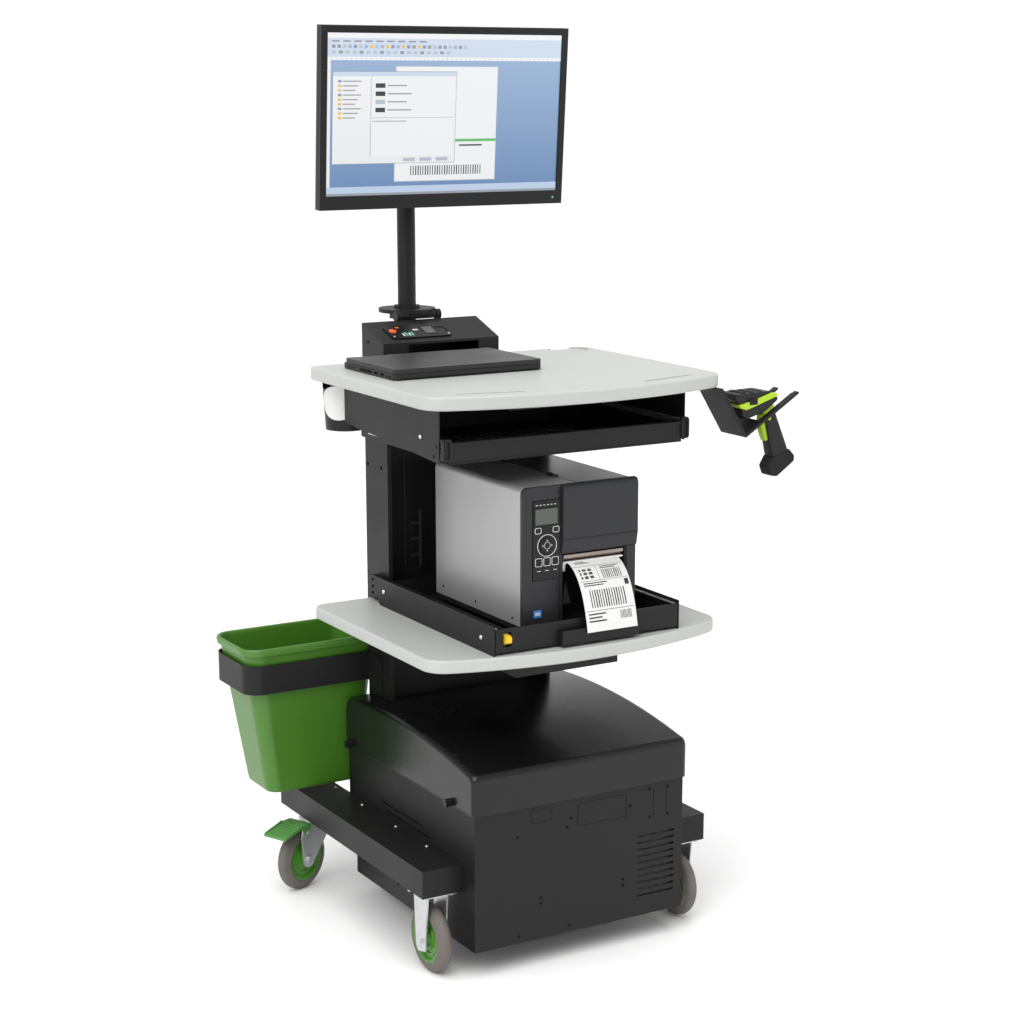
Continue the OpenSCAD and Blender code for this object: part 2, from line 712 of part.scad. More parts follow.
// The monitor's own frame: tilt pin along X through the origin, screen towards -Y
module on_tilt() translate(tilt_c) rotate([monitor_lean, 0, 0]) children();

module monitor_shell() color("#1d1d1f") on_tilt() {
    x = monitor_w / 2;
    z = monitor_h / 2;
    difference() {
        union() {
            span([-x, x], [-70, -50], [-z, z]);
            span([-170, 170], [-50, -30], [-120, 110]);
        }
        span([bezel_side - x, x - bezel_side], [-71, -62], [bezel_foot - z, z - bezel_side]);
    }
    span([-60, 60], [-30, -26], [-60, 60]);
    for (s = [-1, 1]) translate([s * 15.5, 0, 0]) {
        span([-3, 3], [-26, 0], [-13, 13]);
        bar_x([-3, 3], [0, 0], 13);
    }
    bar_x([-19, 19], [0, 0], 5);
}

module screen() color("#7fa4cf") on_tilt() span([bezel_side - monitor_w / 2, monitor_w / 2 - bezel_side],
    [-66, -62], [bezel_foot - monitor_h / 2, monitor_h / 2 - bezel_side]);

// ---- Waste bin

module bin_form(in, foot, head) hull() {
        translate([0, 0, foot]) linear_extrude(0.5)
        rounded_outline([-406 + in, -194 - in], [201 + in, 331 - in], 26);
    translate([0, 0, head - 0.5]) linear_extrude(0.5)
        rounded_outline([-458 + in, -163 - in], [177 + in, 351 - in], 34);
}

module waste_bin() color("#4f8a2a") {
    z = [237, 237 + bin_h];
    difference() {
        bin_form(0, z[0], z[1]);
        bin_form(3, z[0] + 3, z[1] + 1);
    }
    translate([0, 0, z[1] - 6]) linear_extrude(6) difference() {
        rounded_outline([-465, -156], [172.5, 358], 40);
        rounded_outline([-457, -164], [178, 350], 33);
    }
}

module bin_bracket() color("#222224") {
    z = [461, 521];
    translate([0, 0, z[0]]) linear_extrude(z[1] - z[0]) difference() {
        rounded_outline([-460, -157.5], [173, 355], 36);
        rounded_outline([-457.5, -160], [175.5, 352.5], 33.5);
    }
    span([-212, -190], [173, 175.5], z);
    span([-192.5, -column_x], [110, 175.5], z);
}

module cup_holder() color("#1e1e20") {
    translate([-249, 138, 0]) difference() {
        union() {
            translate([0, 0, 996]) cylinder(r1 = 40, r2 = 45, h = 90);
            translate([0, 0, 1086]) cylinder(r = 45, h = worktop_under - 1086);
        }
        translate([0, 0, 999]) cylinder(r1 = 37, r2 = 42, h = 88);
        translate([0, 0, 1080]) cylinder(r = 42, h = 40);
        for (a = [75, 180, 285]) rotate(a) span([0, 60], [-22, 22], [1078, 1110]);
    }
}

// ---- Scanner

module scanner_holder() color("#222224") {
    t = 3;
    difference() {
        slab_y(holder_y) polygon([[300, worktop_under], [300 - t, worktop_under - 1], [358, 999],
            [362, 998], [486, 1074], [487, 1078], [484, 1079], [362, 1004], [304, worktop_under]]);
        span([400, 500], [holder_y[0] + 12, holder_y[1] - 12], [990, 1100]);
    }
    span([250, 302], [-330, holder_y[1]], [worktop_under - t, worktop_under]);
}

module scanner() color("#1d1d20") {
    head = [[341, 1072], [347, 1081], [425, 1084], [438, 1078], [444, 1066], [424, 1049], [374, 1033],
        [360, 1040]];
    handle = [[420, 1050], [443, 1066], [484, 962], [500, 947], [500, 936], [457, 908], [441, 911],
        [433, 930], [444, 946]];
    difference() {
        translate([0, gun_y, 0]) {
            slab_y([-33, 33]) polygon(head);
            slab_y([-15, 15]) polygon(handle);
        }
        translate([0, gun_y, 0]) slab_y([-8.5, 8.5])
            polygon([[412, 1042], [434, 1042], [451, 985], [446, 976], [420, 976]]);
    }
    translate([0, gun_y, 0]) bar_y([-9, 9], trigger_pin, 2);
    translate([0, gun_y, 0]) for (y = [[-11, -8.5], [8.5, 11]])
        slab_y(y) polygon([[420, 1024], [432, 1024], [436, 1050], [420, 1046]]);
}

module scanner_trigger() color("#9bc81e") translate([0, gun_y, 0]) difference() {
    slab_y([-8, 8]) polygon([[421, 1034], [431, 1034], [440, 1000], [438, 984], [432, 981], [428, 990],
        [420, 1012]]);
    bar_y([-9, 9], trigger_pin, 2 + fit_gap);
}

base_rail_left();
base_rail_right();
cabinet();
cabinet_lid();
thumb_screws();
column();
batteries();
inverter();
front_caster_forks();
rear_caster_plates();
caster_fasteners();
wheel_front_left();
wheel_front_right();
wheel_rear_left();
wheel_rear_right();
swivel_fork_left();
swivel_fork_right();
brake_pedal_left();
brake_pedal_right();
lower_shelf();
worktop();
shelf_bracket();
drawer_housing();
slide_rails();
keyboard_drawer();
keyboard();
printer_cradle();
printer_tray();
tray_latch();
printer_chassis();
printer_cover();
printer_front();
media_door_top();
media_door_side();
control_panel();
nav_pad();
pause_key();
feed_key();
cancel_key();
platen_roller();
label_roll();
label_strip();
laptop_base();
laptop_lid();
control_box();
meter_panel();
power_button();
mast_bracket();
mast();
mast_collar();
height_collar();
monitor_arm();
monitor_shell();
screen();
waste_bin();
bin_bracket();
cup_holder();
scanner_holder();
scanner();
scanner_trigger();
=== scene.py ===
from math import asin, atan2, cos, degrees, hypot, pi, radians, sin, sqrt

import bmesh
import bpy
from mathutils import Matrix, Vector


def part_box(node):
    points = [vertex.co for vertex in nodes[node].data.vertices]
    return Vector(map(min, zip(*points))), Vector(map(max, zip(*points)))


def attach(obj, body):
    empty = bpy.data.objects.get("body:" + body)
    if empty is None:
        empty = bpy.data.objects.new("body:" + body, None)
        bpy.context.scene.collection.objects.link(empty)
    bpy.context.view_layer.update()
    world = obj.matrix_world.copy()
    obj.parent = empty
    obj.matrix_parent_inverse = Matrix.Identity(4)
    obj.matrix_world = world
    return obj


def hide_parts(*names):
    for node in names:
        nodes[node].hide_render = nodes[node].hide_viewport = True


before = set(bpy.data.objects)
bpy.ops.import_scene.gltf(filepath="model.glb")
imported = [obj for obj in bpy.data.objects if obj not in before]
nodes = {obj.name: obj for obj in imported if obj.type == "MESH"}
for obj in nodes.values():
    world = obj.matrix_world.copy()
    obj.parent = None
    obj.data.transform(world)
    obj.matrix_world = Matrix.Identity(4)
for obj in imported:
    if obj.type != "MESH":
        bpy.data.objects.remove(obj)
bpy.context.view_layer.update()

MM = 0.001

# Faces of the CAD bodies that details are laid on, and the scanner's mid plane, in millimetres
WORKTOP_TOP = 1123.0
SHELF_TOP = 639.5
CABINET_HALF = 237.0
CABINET_FRONT = -354.0
CRADLE_HALF = 206.0
HOUSING_HALF = 271.0
RAIL_TOP = 221.0
PRINTER_LEFT = -117.0
CONTROL_HALF = 135.0
GUN_Y = -329.0


# ---- Camera at the photograph's angle

def add_camera():
    data = bpy.data.cameras.new("camera")
    data.sensor_width = 36.0
    data.lens = 73.94
    data.shift_x = -0.0024
    data.shift_y = 0.0687
    data.clip_end = 60.0
    camera = bpy.data.objects.new("camera", data)
    camera.location = (-2.0656, -3.5994, 1.6641)
    camera.rotation_euler = (radians(90.0 - 13.35), 0.0, radians(-30.55))
    bpy.context.scene.collection.objects.link(camera)
    bpy.context.scene.camera = camera


add_camera()


# ---- Materials

FINE_SHARE = 0.45
RELIEF_DEPTH = 0.0004


def new_node(tree, kind, **inputs):
    node = tree.nodes.new(kind)
    for name, value in inputs.items():
        node.inputs[name.replace("_", " ")].default_value = value
    return node


def finish_of(name, colour, rough, mottle=0.10, grain=900.0, bump=0.12, metal=0.0, spec=0.5,
              coat=0.0, cloud=7.0, swing=0.05, glow=0.0, stretch=(1, 1, 1)):
    """A procedural finish: fine grain in the relief, slow clouds in the colour and the gloss."""
    mat = bpy.data.materials.new(name)
    mat.use_nodes = True
    tree = mat.node_tree
    bsdf = tree.nodes["Principled BSDF"]
    coord = tree.nodes.new("ShaderNodeTexCoord")
    mapping = tree.nodes.new("ShaderNodeMapping")
    mapping.inputs["Scale"].default_value = stretch
    tree.links.new(coord.outputs["Object"], mapping.inputs["Vector"])
    fine = new_node(tree, "ShaderNodeTexNoise", Scale=grain, Detail=3.0, Roughness=0.6)
    broad = new_node(tree, "ShaderNodeTexNoise", Scale=cloud, Detail=4.0, Roughness=0.55)
    for noise in (fine, broad):
        tree.links.new(mapping.outputs["Vector"], noise.inputs["Vector"])
    blend = tree.nodes.new("ShaderNodeMix")
    blend.data_type = "FLOAT"
    blend.inputs[0].default_value = FINE_SHARE
    tree.links.new(broad.outputs["Fac"], blend.inputs[2])
    tree.links.new(fine.outputs["Fac"], blend.inputs[3])
    ramp = tree.nodes.new("ShaderNodeValToRGB")
    ramp.color_ramp.elements[0].position = 0.32
    ramp.color_ramp.elements[1].position = 0.68
    ramp.color_ramp.elements[0].color = [c * (1.0 - mottle) for c in colour] + [1.0]
    ramp.color_ramp.elements[1].color = [min(1.0, c * (1.0 + mottle)) for c in colour] + [1.0]
    tree.links.new(blend.outputs[0], ramp.inputs["Fac"])
    tree.links.new(ramp.outputs["Color"], bsdf.inputs["Base Color"])
    gloss = tree.nodes.new("ShaderNodeMapRange")
    gloss.inputs["From Min"].default_value = 0.3
    gloss.inputs["From Max"].default_value = 0.7
    gloss.inputs["To Min"].default_value = max(0.02, rough - swing)
    gloss.inputs["To Max"].default_value = min(1.0, rough + swing)
    tree.links.new(broad.outputs["Fac"], gloss.inputs["Value"])
    tree.links.new(gloss.outputs["Result"], bsdf.inputs["Roughness"])
    relief = new_node(tree, "ShaderNodeBump", Strength=bump, Distance=RELIEF_DEPTH)
    tree.links.new(fine.outputs["Fac"], relief.inputs["Height"])
    tree.links.new(relief.outputs["Normal"], bsdf.inputs["Normal"])
    bsdf.inputs["Metallic"].default_value = metal
    bsdf.inputs["Specular IOR Level"].default_value = spec
    bsdf.inputs["Coat Weight"].default_value = coat
    bsdf.inputs["Coat Roughness"].default_value = 0.08
    if glow > 0.0:
        tree.links.new(ramp.outputs["Color"], bsdf.inputs["Emission Color"])
        bsdf.inputs["Emission Strength"].default_value = glow
    return mat


SHEET = finish_of("powder_coat", (0.0095, 0.009, 0.0095), 0.46, 0.16, 1300.0, 0.30, spec=0.26)
SHEET_DEEP = finish_of("powder_coat_inside", (0.010, 0.010, 0.010), 0.62, 0.2, 1300.0, 0.3, spec=0.25)
BOARD = finish_of("deck_laminate", (0.44, 0.45, 0.435), 0.42, 0.035, 420.0, 0.10, cloud=3.0)
LID = finish_of("moulded_lid", (0.005, 0.005, 0.0055), 0.24, 0.15, 700.0, 0.10, spec=0.36, coat=0.04)
SATIN = finish_of("satin_black", (0.008, 0.008, 0.009), 0.38, 0.15, 1100.0, 0.15, spec=0.3)
BEZEL = finish_of("bezel_black", (0.005, 0.005, 0.006), 0.28, 0.12, 1500.0, 0.06, spec=0.28)
# Near-black for dark screws and seams, and painted shade standing in for openings: holes, ports, vents and
# the printer's media cavity.
DARK_AND_HOLE_SHADE = finish_of("dark_parts_and_painted_hole_shade", (0.004, 0.004, 0.004), 0.75, 0.3, 300.0, 0.1, spec=0.1)
RUBBER = finish_of("soft_rubber", (0.010, 0.010, 0.011), 0.68, 0.2, 900.0, 0.4, spec=0.25)
ZINC = finish_of("zinc_plate", (0.60, 0.61, 0.62), 0.36, 0.12, 260.0, 0.12, metal=0.85,
                 cloud=30.0, swing=0.08)
BRIGHT = finish_of("bright_screw", (0.78, 0.79, 0.80), 0.22, 0.06, 600.0, 0.05, metal=1.0)
TREAD = finish_of("grey_tread", (0.125, 0.108, 0.095), 0.62, 0.18, 500.0, 0.35, cloud=22.0)
GREEN = finish_of("moulded_green", (0.056, 0.175, 0.014), 0.36, 0.09, 800.0, 0.16, cloud=5.0)
WHEEL_GREEN = finish_of("core_green", (0.065, 0.245, 0.022), 0.34, 0.12, 700.0, 0.12, cloud=25.0)
PEDAL_GREEN = finish_of("pedal_green", (0.085, 0.26, 0.055), 0.48, 0.15, 600.0, 0.25, cloud=25.0)
SILVER = finish_of("satin_silver", (0.40, 0.405, 0.40), 0.40, 0.045, 1600.0, 0.10, metal=0.45, cloud=2.5)
CHARCOAL = finish_of("printer_charcoal", (0.020, 0.0205, 0.023), 0.42, 0.12, 1200.0, 0.25, spec=0.32)
DOOR_GREY = finish_of("door_grey", (0.06, 0.061, 0.063), 0.30, 0.08, 1400.0, 0.12, metal=0.35, cloud=3.0)
# Painted light: the media door's top leaf is the side leaf's grey made twice as bright, for the light
# falling on it.
DOOR_GREY_PAINTED_TOP_LIGHT = finish_of("door_grey_painted_top_light", (0.12, 0.122, 0.126), 0.26, 0.06, 1400.0, 0.10, metal=0.35, cloud=3.0)
GLOSS = finish_of("gloss_panel", (0.004, 0.004, 0.005), 0.18, 0.2, 500.0, 0.02, spec=0.3, coat=0.05)
LCD = finish_of("grey_lcd", (0.075, 0.080, 0.068), 0.25, 0.10, 900.0, 0.05)
KEY = finish_of("membrane_key", (0.007, 0.007, 0.008), 0.40, 0.2, 900.0, 0.1, spec=0.28)
MARK = finish_of("printed_white", (0.55, 0.56, 0.56), 0.5, 0.06, 900.0, 0.05)
PAPER = finish_of("label_stock", (0.68, 0.68, 0.67), 0.46, 0.02, 700.0, 0.05, cloud=12.0)
INK = finish_of("label_ink", (0.018, 0.018, 0.020), 0.6, 0.25, 1500.0, 0.05)
YELLOW = finish_of("latch_yellow", (0.78, 0.50, 0.012), 0.36, 0.08, 700.0, 0.1)
LAPTOP = finish_of("laptop_satin", (0.030, 0.029, 0.029), 0.40, 0.10, 1500.0, 0.18, metal=0.2, spec=0.3)
LAPTOP_SIDE = finish_of("laptop_side", (0.016, 0.016, 0.016), 0.42, 0.12, 1500.0, 0.15, spec=0.3)
ORANGE = finish_of("orange_key", (0.62, 0.10, 0.015), 0.35, 0.1, 700.0, 0.08, glow=0.12)
TEAL = finish_of("teal_bar", (0.09, 0.42, 0.27), 0.4, 0.1, 700.0, 0.05, glow=0.1)
LIME = finish_of("scanner_lime", (0.35, 0.55, 0.010), 0.40, 0.07, 900.0, 0.15)
COPPER = finish_of("tear_bar", (0.31, 0.26, 0.23), 0.25, 0.25, 300.0, 0.08, metal=1.0, stretch=(1, 14, 14))
STICKER = finish_of("blue_sticker", (0.02, 0.22, 0.60), 0.35, 0.08, 500.0, 0.04)
CASE_BLUE = finish_of("battery_case", (0.050, 0.080, 0.125), 0.5, 0.12, 700.0, 0.2)
ALLOY = finish_of("inverter_alloy", (0.26, 0.27, 0.28), 0.42, 0.08, 500.0, 0.12, metal=0.8)
FLOOR = finish_of("pale_floor", (0.93, 0.93, 0.925), 0.60, 0.01, 60.0, 0.02, spec=0.2)


def lit(name, low, high):
    """A lit area of a display, shaded from one colour at its foot to another at its head."""
    mat = bpy.data.materials.new(name)
    mat.use_nodes = True
    tree = mat.node_tree
    bsdf = tree.nodes["Principled BSDF"]
    coord = tree.nodes.new("ShaderNodeTexCoord")
    split = tree.nodes.new("ShaderNodeSeparateXYZ")
    ramp = tree.nodes.new("ShaderNodeValToRGB")
    ramp.color_ramp.elements[0].color = (*low, 1.0)
    ramp.color_ramp.elements[1].color = (*high, 1.0)
    tree.links.new(coord.outputs["Generated"], split.inputs["Vector"])
    tree.links.new(split.outputs["Z"], ramp.inputs["Fac"])
    tree.links.new(ramp.outputs["Color"], bsdf.inputs["Emission Color"])
    bsdf.inputs["Emission Strength"].default_value = 0.92
    bsdf.inputs["Base Color"].default_value = (0.01, 0.01, 0.01, 1.0)
    bsdf.inputs["Roughness"].default_value = 0.28
    return mat


WORKSPACE = lit("lit_workspace", (0.12, 0.24, 0.47), (0.36, 0.50, 0.72))
BAR = lit("lit_bar", (0.50, 0.62, 0.80), (0.66, 0.75, 0.88))
PAGE = lit("lit_page", (0.86, 0.88, 0.90), (0.90, 0.92, 0.94))
PANEL = lit("lit_panel", (0.80, 0.82, 0.84), (0.93, 0.94, 0.95))
LINE = lit("lit_line", (0.30, 0.33, 0.38), (0.30, 0.33, 0.38))
SHADE = lit("lit_shade", (0.44, 0.50, 0.58), (0.50, 0.56, 0.64))
PRINT = lit("lit_print", (0.02, 0.02, 0.03), (0.02, 0.02, 0.03))
LEAF = lit("lit_leaf", (0.10, 0.48, 0.13), (0.14, 0.55, 0.16))
AMBER = lit("lit_amber", (0.80, 0.50, 0.10), (0.85, 0.58, 0.16))


# ---- Mesh building, in millimetres in the row frame

ROUNDED_FROM = radians(35)
AXES = {"x": lambda s, a, b: (s, a, b), "y": lambda s, a, b: (a, s, b), "z": lambda s, a, b: (a, b, s)}


class Piece:
    """One visible object, gathered from several shapes that may have different materials."""

    def __init__(self, name, place=None):
        self.name = name
        self.place = place or Matrix.Identity(4)
        self.bm = bmesh.new()
        self.mats = []

    def slot_of(self, mat):
        if mat not in self.mats:
            self.mats.append(mat)
        return self.mats.index(mat)

    def shape(self, points, faces, mat, round_off=0.0, segments=2, rims=None):
        index = self.slot_of(mat)
        verts = [self.bm.verts.new(self.place @ Vector(p)) for p in points]
        made = []
        for face in faces:
            made.append(self.bm.faces.new([verts[i] for i in face]))
        for face in made:
            face.material_index = index
        bmesh.ops.recalc_face_normals(self.bm, faces=made)
        if round_off > 0.0:
            edges = {e for f in made for e in f.edges}
            if rims is not None:
                edges = {e for e in edges if rims(e)}
            else:
                edges = {e for e in edges
                         if len(e.link_faces) == 2 and e.calc_face_angle(0.0) > ROUNDED_FROM}
            bmesh.ops.bevel(self.bm, geom=list(edges), offset=round_off, segments=segments, profile=0.5,
                            affect="EDGES", clamp_overlap=True, material=-1)
        return verts

    def prism(self, outline, axis, span, mat, round_off=0.0, segments=2, rims=None):
        """A flat outline given thickness along an axis."""
        put = AXES[axis]
        n = len(outline)
        points = [put(s, a, b) for s in span for a, b in outline]
        faces = [tuple(range(n)), tuple(range(n, 2 * n))]
        faces += [(i, (i + 1) % n, n + (i + 1) % n, n + i) for i in range(n)]
        self.shape(points, faces, mat, round_off, segments, rims)

    def box(self, x, y, z, mat, round_off=0.0, segments=2):
        base = [(x[0], y[0]), (x[1], y[0]), (x[1], y[1]), (x[0], y[1])]
        self.prism(base, "z", z, mat, round_off, segments)

    def loft(self, rings, mat, caps=(True, True), closed=False):
        """A skin over rings that all have the same number of points."""
        n = len(rings[0])
        points = [p for ring in rings for p in ring]
        faces = []
        last = len(rings) if closed else len(rings) - 1
        for k in range(last):
            a = k * n
            b = ((k + 1) % len(rings)) * n
            faces += [(a + i, a + (i + 1) % n, b + (i + 1) % n, b + i) for i in range(n)]
        if caps[0] and not closed:
            faces.append(tuple(range(n)))
        if caps[1] and not closed:
            faces.append(tuple(range((len(rings) - 1) * n, len(rings) * n)))
        self.shape(points, faces, mat)

    def lathe(self, profile, axis, centre, mat, steps=48, closed=False):
        """A turned form: (radius, position) pairs about an axis through centre."""
        put = AXES[axis]
        rings = []
        for r, s in profile:
            turn = [2 * pi * i / steps for i in range(steps)]
            rings.append([put(s, centre[0] + r * cos(t), centre[1] + r * sin(t)) for t in turn])
        self.loft(rings, mat, (profile[0][0] > 0, profile[-1][0] > 0), closed)

    def screw(self, axis, centre, face, out, r, mat, thick=2.0):
        """A pan head with a chamfered rim and a recess, standing on a face towards out (1 or -1)."""
        self.lathe([(r, face), (r, face + out * thick * 0.55), (r * 0.8, face + out * thick),
                    (r * 0.38, face + out * thick), (r * 0.3, face + out * thick * 0.35)],
                   axis, centre, mat, 14)

    def done(self, body, slot, *replaced, carve=(), angle=32.0):
        for v in self.bm.verts:
            v.co *= MM
        mesh = bpy.data.meshes.new(self.name)
        self.bm.to_mesh(mesh)
        self.bm.free()
        obj = bpy.data.objects.new(self.name, mesh)
        bpy.context.scene.collection.objects.link(obj)
        for mat in self.mats:
            mesh.materials.append(mat)
        for cutter in carve:
            cut(obj, cutter)
        obj.data.shade_smooth()
        obj.data.set_sharp_from_angle(angle=radians(angle))
        smooth = obj.modifiers.new("normals", "WEIGHTED_NORMAL")
        smooth.keep_sharp = True
        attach(obj, body)
        if replaced:
            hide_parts(*replaced)
        return obj


def cut(obj, cutter):
    """Takes the cutter's shape out of obj and removes the cutter."""
    mesh = bpy.data.meshes.new("cutter")
    for v in cutter.bm.verts:
        v.co *= MM
    cutter.bm.to_mesh(mesh)
    cutter.bm.free()
    tool = bpy.data.objects.new("cutter", mesh)
    bpy.context.scene.collection.objects.link(tool)
    mod = obj.modifiers.new("cut", "BOOLEAN")
    mod.operation = "DIFFERENCE"
    mod.solver = "EXACT"
    mod.object = tool
    graph = bpy.context.evaluated_depsgraph_get()
    result = bpy.data.meshes.new_from_object(obj.evaluated_get(graph))
    obj.modifiers.remove(mod)
    old = obj.data
    obj.data = result
    bpy.data.meshes.remove(old)
    bpy.data.objects.remove(tool)
    bpy.data.meshes.remove(mesh)


def arc(centre, r, a0, a1, n):
    return [(centre[0] + r * cos(radians(a0 + (a1 - a0) * i / n)),
             centre[1] + r * sin(radians(a0 + (a1 - a0) * i / n))) for i in range(n + 1)]


def rounded(a, b, r, n=6):
    """A rectangle with rounded corners, from its limits along two axes."""
    return (arc((a[1] - r, b[1] - r), r, 0, 90, n) + arc((a[0] + r, b[1] - r), r, 90, 180, n)
            + arc((a[0] + r, b[0] + r), r, 180, 270, n) + arc((a[1] - r, b[0] + r), r, 270, 360, n))


def frame_ring(piece, a, b, r, width, axis, span, mat):
    """A flat rounded ring, such as a printed key outline or a grip."""
    put = AXES[axis]
    outer = rounded(a, b, r)
    inner = rounded((a[0] + width, a[1] - width), (b[0] + width, b[1] - width), max(0.3, r - width))
    rings = [[put(s, *p) for p in outline] for s, outline in
             ((span[0], outer), (span[1], outer), (span[1], inner), (span[0], inner))]
    piece.loft(rings, mat, closed=True)


def bar_share(i):
    """How much of its step bar i of a generic bar pattern fills."""
    return (0.35, 0.6, 0.45, 0.75)[(i * i + 3 * i) % 4]


# ---- CAD nodes whose shape is right: a finish, and softened edges

FLAT_WITHIN = radians(1)
BROKEN_FROM = radians(38)
SHARP_FROM = radians(30)


def dress(mat, edge, *names):
    """Gives CAD nodes a finish, and breaks their sharp edges by edge millimetres."""
    for name in names:
        obj = nodes[name]
        obj.data.materials.clear()
        obj.data.materials.append(mat)
        weld = obj.modifiers.new("weld", "WELD")
        weld.merge_threshold = 0.00002
        merge = obj.modifiers.new("merge", "DECIMATE")
        merge.decimate_type = "DISSOLVE"
        merge.angle_limit = FLAT_WITHIN
        if edge > 0.0:
            bevel = obj.modifiers.new("edge", "BEVEL")
            bevel.width = edge * MM
            bevel.segments = 2
            bevel.limit_method = "ANGLE"
            bevel.angle_limit = BROKEN_FROM
            bevel.use_clamp_overlap = True
        obj.data.shade_smooth()
        obj.data.set_sharp_from_angle(angle=SHARP_FROM)
        smooth = obj.modifiers.new("normals", "WEIGHTED_NORMAL")
        smooth.keep_sharp = True


dress(SHEET, 0.6, "base_rail_left", "base_rail_right", "cabinet", "column", "shelf_bracket",
      "drawer_housing", "keyboard_drawer", "printer_cradle", "printer_tray", "control_box",
      "mast_bracket", "mast_collar", "bin_bracket", "scanner_holder", "height_collar", "monitor_arm")
dress(SHEET, 0.0, "mast")
dress(SATIN, 0.4, "thumb_screws", "cup_holder")
dress(ZINC, 0.5, "front_caster_forks", "rear_caster_plates", "caster_fasteners", "slide_rails",
      "swivel_fork_left", "swivel_fork_right")
dress(SILVER, 0.6, "printer_cover")
dress(CHARCOAL, 1.2, "printer_front")
dress(SHEET_DEEP, 0.3, "printer_chassis")
# The top leaf takes the copy of the door grey with painted light on it.
dress(DOOR_GREY_PAINTED_TOP_LIGHT, 0.5, "media_door_top")
dress(DOOR_GREY, 0.5, "media_door_side")
dress(GLOSS, 0.4, "control_panel")
dress(BEZEL, 0.4, "meter_panel")
dress(KEY, 0.5, "nav_pad", "pause_key", "feed_key", "cancel_key")
dress(RUBBER, 0.3, "platen_roller")
dress(PAPER, 0.0, "label_roll", "label_strip")
dress(YELLOW, 1.2, "tray_latch")
dress(LAPTOP_SIDE, 0.8, "laptop_base")
dress(LAPTOP, 1.0, "laptop_lid")
dress(ORANGE, 0.6, "power_button")
dress(BEZEL, 1.4, "monitor_shell")
dress(WORKSPACE, 0.0, "screen")
dress(LIME, 1.5, "scanner_trigger")
dress(CASE_BLUE, 2.0, "batteries")
dress(ALLOY, 1.0, "inverter")


# ---- Decks

DECK_HALF = 323.0
DECK_FRONT = -405.0
DECK_BACK = 158.0
DECK_T = 25.4
BOW = 61.0
BOW_R = (DECK_HALF ** 2 + BOW ** 2) / (2 * BOW)
DECK_EDGE_R = 4.5


def deck_outline():
    r = 50.0
    back_r = 25.0
    bow_y = DECK_FRONT + BOW_R
    corner = (DECK_HALF - r, bow_y - sqrt((BOW_R - r) ** 2 - (DECK_HALF - r) ** 2))
    a = degrees(atan2(corner[1] - bow_y, corner[0]))
    points = arc((-corner[0], corner[1]), r, 180, 180 - a, 12)
    points += arc((0, bow_y), BOW_R, 180 - a, 360 + a, 48)[1:-1]
    points += arc(corner, r, 360 + a, 360, 12)
    points += arc((DECK_HALF - back_r, DECK_BACK - back_r), back_r, 0, 90, 8)
    points += arc((back_r - DECK_HALF, DECK_BACK - back_r), back_r, 90, 180, 8)
    return points


def deck_board(name, top, notches):
    """A bow-fronted board with softened edges, less its notches."""
    piece = Piece(name)
    piece.prism(deck_outline(), "z", (top - DECK_T, top), BOARD, DECK_EDGE_R, 4,
                rims=lambda e: abs(e.verts[0].co.z - e.verts[1].co.z) < 1)
    piece.done("root", "board", name, carve=notches)


def worktop_cutters(top):
    cutters = []
    recess = Piece("recess")
    recess.lathe([(40.5, top - 4), (42.0, top - 3), (42.0, top + 3)], "z", (262, 122), BOARD, 64)
    cutters.append(recess)
    for side in (-1, 1):
        turn = side * asin(202 / BOW_R)
        place = (Matrix.Translation((0, DECK_FRONT + BOW_R, top)) @ Matrix.Rotation(turn, 4, "Z")
                 @ Matrix.Translation((0, 38 - BOW_R, 0)))
        groove = Piece("groove", place)
        groove.prism(rounded((-66, 66), (-4, 4), 3.9), "z", (-3, 2), BOARD)
        cutters.append(groove)
    return cutters


def shelf_cutter(top):
    notch = Piece("notch")
    notch.box((-191, 191), (74, 200), (top - 60, top + 40), BOARD)
    return [notch]


deck_board("worktop", WORKTOP_TOP, worktop_cutters(WORKTOP_TOP))
deck_board("lower_shelf", SHELF_TOP, shelf_cutter(SHELF_TOP))


# ---- Cabinet lid

def lid_ring(x, inset, foot):
    """The lid's crowned profile at x, shrunk by inset."""
    crown_z, crown_r, crown_y = 442.5, 1650.0, -20.0

    def top(y):
        return crown_z - inset - crown_r + sqrt(crown_r ** 2 - (y - crown_y) ** 2)

    y0 = -360.0 + inset
    y1 = 182.0 - inset
    front_r = 14.0
    back_r = 26.0
    front = (y0 + front_r, top(y0 + front_r) - front_r)
    back = (y1 - back_r, top(y1 - back_r) - back_r)
    outline = [(y1, foot)] + arc(back, back_r, 0, 85, 8)
    outline += [(back[0] + (front[0] - back[0]) * i / 28, top(back[0] + (front[0] - back[0]) * i / 28))
                for i in range(1, 29)]
    outline += arc(front, front_r, 95, 180, 8) + [(y0, foot)]
    return [(x, y, z) for y, z in outline]


def cabinet_lid():
    half, shoulder, foot, wall = 243.0, 13.0, 329.0, 4.0
    rings = []
    for side in (-1, 1):
        steps = [i * 90.0 / 6 for i in range(7)]
        if side < 0:
            steps.reverse()
        for a in steps:
            x = side * (half - shoulder + shoulder * sin(radians(a)))
            rings.append(lid_ring(x, shoulder * 0.7 * (1 - cos(radians(a))), foot))
    piece = Piece("cabinet_lid")
    piece.loft(rings, LID)
    hollow = Piece("hollow")
    hollow.loft([lid_ring(x, wall + 3, foot - 5) for x in (wall - half, half - wall)], LID)
    notch = Piece("notch")
    notch.box((-193, 193), (72, 300), (foot - 20, 500), LID)
    piece.done("root", "black_moulding", "cabinet_lid", carve=[hollow, notch])


cabinet_lid()


# ---- Casters

